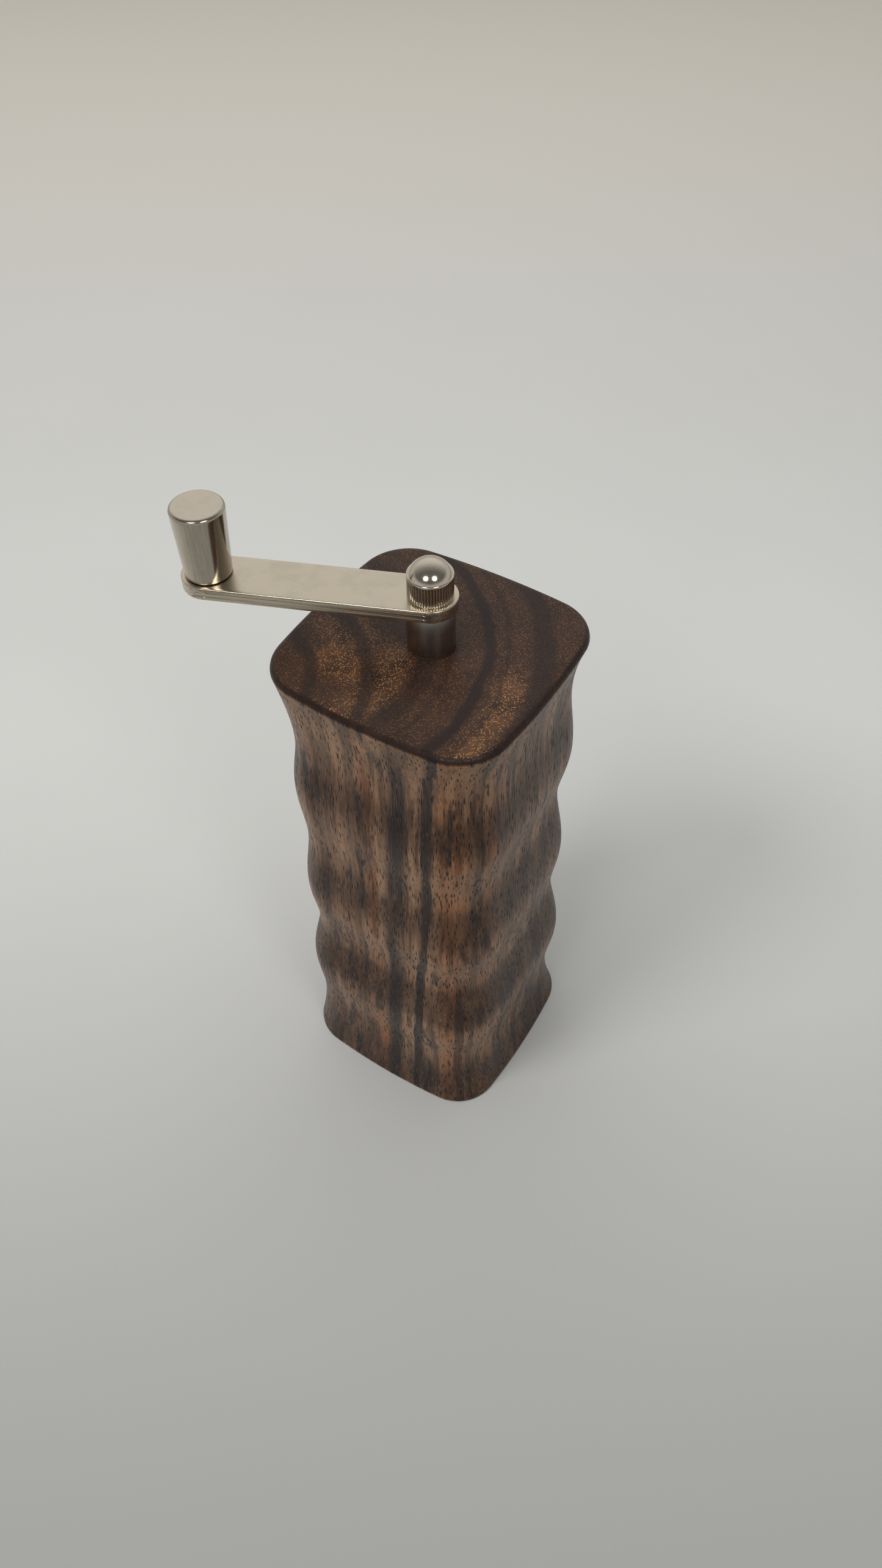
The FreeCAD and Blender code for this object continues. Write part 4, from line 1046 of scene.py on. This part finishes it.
class MILL_OT_studio(bpy.types.Operator):
    """Lay the floor, hang the lights and place the camera"""

    bl_idname = "mill.studio"
    bl_label = "Studio"

    def execute(self, context):
        scene = context.scene
        studio = scene.mill_studio
        scene.view_settings.view_transform = "Standard"
        self.lay_floor(scene, studio)
        self.light_room(scene, studio)
        self.place_camera(scene, studio)
        return {"FINISHED"}

    def lay_floor(self, scene, studio):
        """A flat sheet, subdivided so that it isn't a single face. It is warmer far behind the
        mill, and a painted shadow darkens it in a band on the camera's side of it."""
        half_size, lines = 4.0, 9
        line = np.linspace(-half_size, half_size, lines)
        x, y = np.meshgrid(line, line)
        points = np.stack([x, y, np.zeros_like(x)], -1).reshape(-1, 3)
        index = np.arange(lines * lines).reshape(lines, lines)
        quads = np.stack([index[:-1, :-1], index[:-1, 1:], index[1:, 1:], index[1:, :-1]], -1)
        mesh = bpy.data.meshes.new("floor")
        mesh.from_pydata(points.tolist(), [], quads.reshape(-1, 4).tolist())
        floor = bpy.data.objects.new("floor", mesh)
        scene.collection.objects.link(floor)
        paint = Paint("floor_paper")
        x, y = paint.axes()[:2]
        forward = x * 0.543 - y * 0.84
        cloud = paint.noise(paint.point, 0.01, detail=3.0)
        base = paint.mix(cloud, darker(studio.floor_colour, 0.95), studio.floor_colour)
        base = paint.mix(forward.ease(-250.0, -1100.0), base, studio.floor_far)
        # painted shadow: a darker band on the camera's side of the mill
        band = forward.ease(-190.0, 260.0) * forward.ease(950.0, 480.0)
        base = paint.mix(band, base, darker(studio.floor_colour, 0.46))
        coat(floor, paint.finish(Base_Color=base, Roughness=0.85))

    def light_room(self, scene, studio):
        """A room whose brightness grows from one wall to the other and evens out near the
        horizon, a large soft key, a soft light overhead, and two small lights for the metal."""
        world = bpy.data.worlds.new("studio_room")
        scene.world = world
        world.use_nodes = True
        room = Nodes(world.node_tree)
        way = room.node("ShaderNodeTexCoord", output="Generated")
        pale_wall = (-0.53, 0.82, 0.20)
        share = room.vector("DOT_PRODUCT", way, {1: pale_wall}, "Value") * 0.5 + 0.5
        levels = ((0.0, 0.10), (0.5, 0.15), (0.66, 0.28), (0.88, 0.66), (1.0, 0.78))
        stops = [(place, (level, level, level * 0.98)) for place, level in levels]
        walls = room.node("ShaderNodeValToRGB", {"stops": stops}, {0: share}, "Color")
        low_down = room.parts(way)[2].ease(0.42, 0.16)
        background = world.node_tree.nodes["Background"]
        room.feed(background.inputs["Color"], room.mix(low_down, walls, (0.52, 0.52, 0.51)))
        room.feed(background.inputs["Strength"], studio.world_strength)

        self.hang("key_light", (-0.72, -1.44, 2.0), 0.9, studio.key_energy, (1.0, 0.99, 0.97))
        self.hang("top_light", (-0.05, 0.05, 1.45), 1.3, studio.fill_energy)
        for name, place in (("spark_one", (0.052, -0.592)), ("spark_two", (0.52, -0.288))):
            self.hang(name, (*place, 0.735), 0.26, studio.spark_energy, glossy=True)

    def hang(self, name, place, size, energy, colour=(1.0, 1.0, 1.0), glossy=False):
        """A round light at a place in metres, turned towards the block's upper half. Metal
        reflects it only where it is glossy."""
        lamp = bpy.data.lights.new(name, "AREA")
        lamp.shape, lamp.size, lamp.energy, lamp.color = "DISK", size, energy, colour
        light = bpy.data.objects.new(name, lamp)
        bpy.context.scene.collection.objects.link(light)
        aim = Vector((0, 0, 0.12))
        light.location = place
        light.rotation_euler = (Vector(place) - aim).to_track_quat("Z", "Y").to_euler()
        light.visible_glossy = glossy

    def place_camera(self, scene, studio):
        """The camera stands off its target by azimuth and elevation, then rolls: its axes are
        the columns of its matrix, and its place is the target plus distance times back."""
        azimuth, elevation = math.radians(studio.azimuth), math.radians(studio.elevation)
        roll = math.radians(studio.roll)
        level = math.cos(elevation)
        back = np.array(
            [math.sin(azimuth) * level, -math.cos(azimuth) * level, math.sin(elevation)]
        )
        across = np.array([math.cos(azimuth), math.sin(azimuth), 0.0])
        above = np.cross(back, across)
        matrix = np.eye(4)
        matrix[:3, 0] = across * math.cos(roll) + above * math.sin(roll)
        matrix[:3, 1] = above * math.cos(roll) - across * math.sin(roll)
        matrix[:3, 2] = back
        matrix[:3, 3] = (np.array(studio.target) + back * studio.distance) * MM
        data = bpy.data.cameras.new("studio_camera")
        data.lens, data.sensor_width = studio.lens, 36.0
        data.clip_start, data.clip_end = 0.01, 50.0
        camera = bpy.data.objects.new("studio_camera", data)
        camera.matrix_world = Matrix(matrix.tolist())
        scene.collection.objects.link(camera)
        scene.camera = camera


class MILL_PT_panel(bpy.types.Panel):
    """Buttons that build the mill's pieces"""

    bl_label = "Walnut Hand Mill"
    bl_idname = "MILL_PT_panel"
    bl_space_type = "VIEW_3D"
    bl_region_type = "UI"
    bl_category = "Mill"

    def draw(self, context):
        for operator in OPERATORS:
            self.layout.operator(operator.bl_idname)


GROUPS = {
    "mill_block": BlockSizes,
    "mill_crank": CrankSizes,
    "mill_finishes": Finishes,
    "mill_studio": StudioSettings,
}
OPERATORS = (
    MILL_OT_block,
    MILL_OT_crank,
    MILL_OT_nut,
    MILL_OT_handle,
    MILL_OT_fittings,
    MILL_OT_studio,
)


def register():
    """Add the classes and hang the property groups on the scene."""
    for cls in (*GROUPS.values(), *OPERATORS, MILL_PT_panel):
        bpy.utils.register_class(cls)
    for name, group in GROUPS.items():
        setattr(bpy.types.Scene, name, PointerProperty(type=group))


def unregister():
    """Take away what register added."""
    for name in GROUPS:
        delattr(bpy.types.Scene, name)
    for cls in (MILL_PT_panel, *OPERATORS[::-1], *GROUPS.values()):
        bpy.utils.unregister_class(cls)


def main():
    """Register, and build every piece."""
    register()
    for operator in OPERATORS:
        group, name = operator.bl_idname.split(".")
        getattr(getattr(bpy.ops, group), name)()


if __name__ == "__main__":
    main()
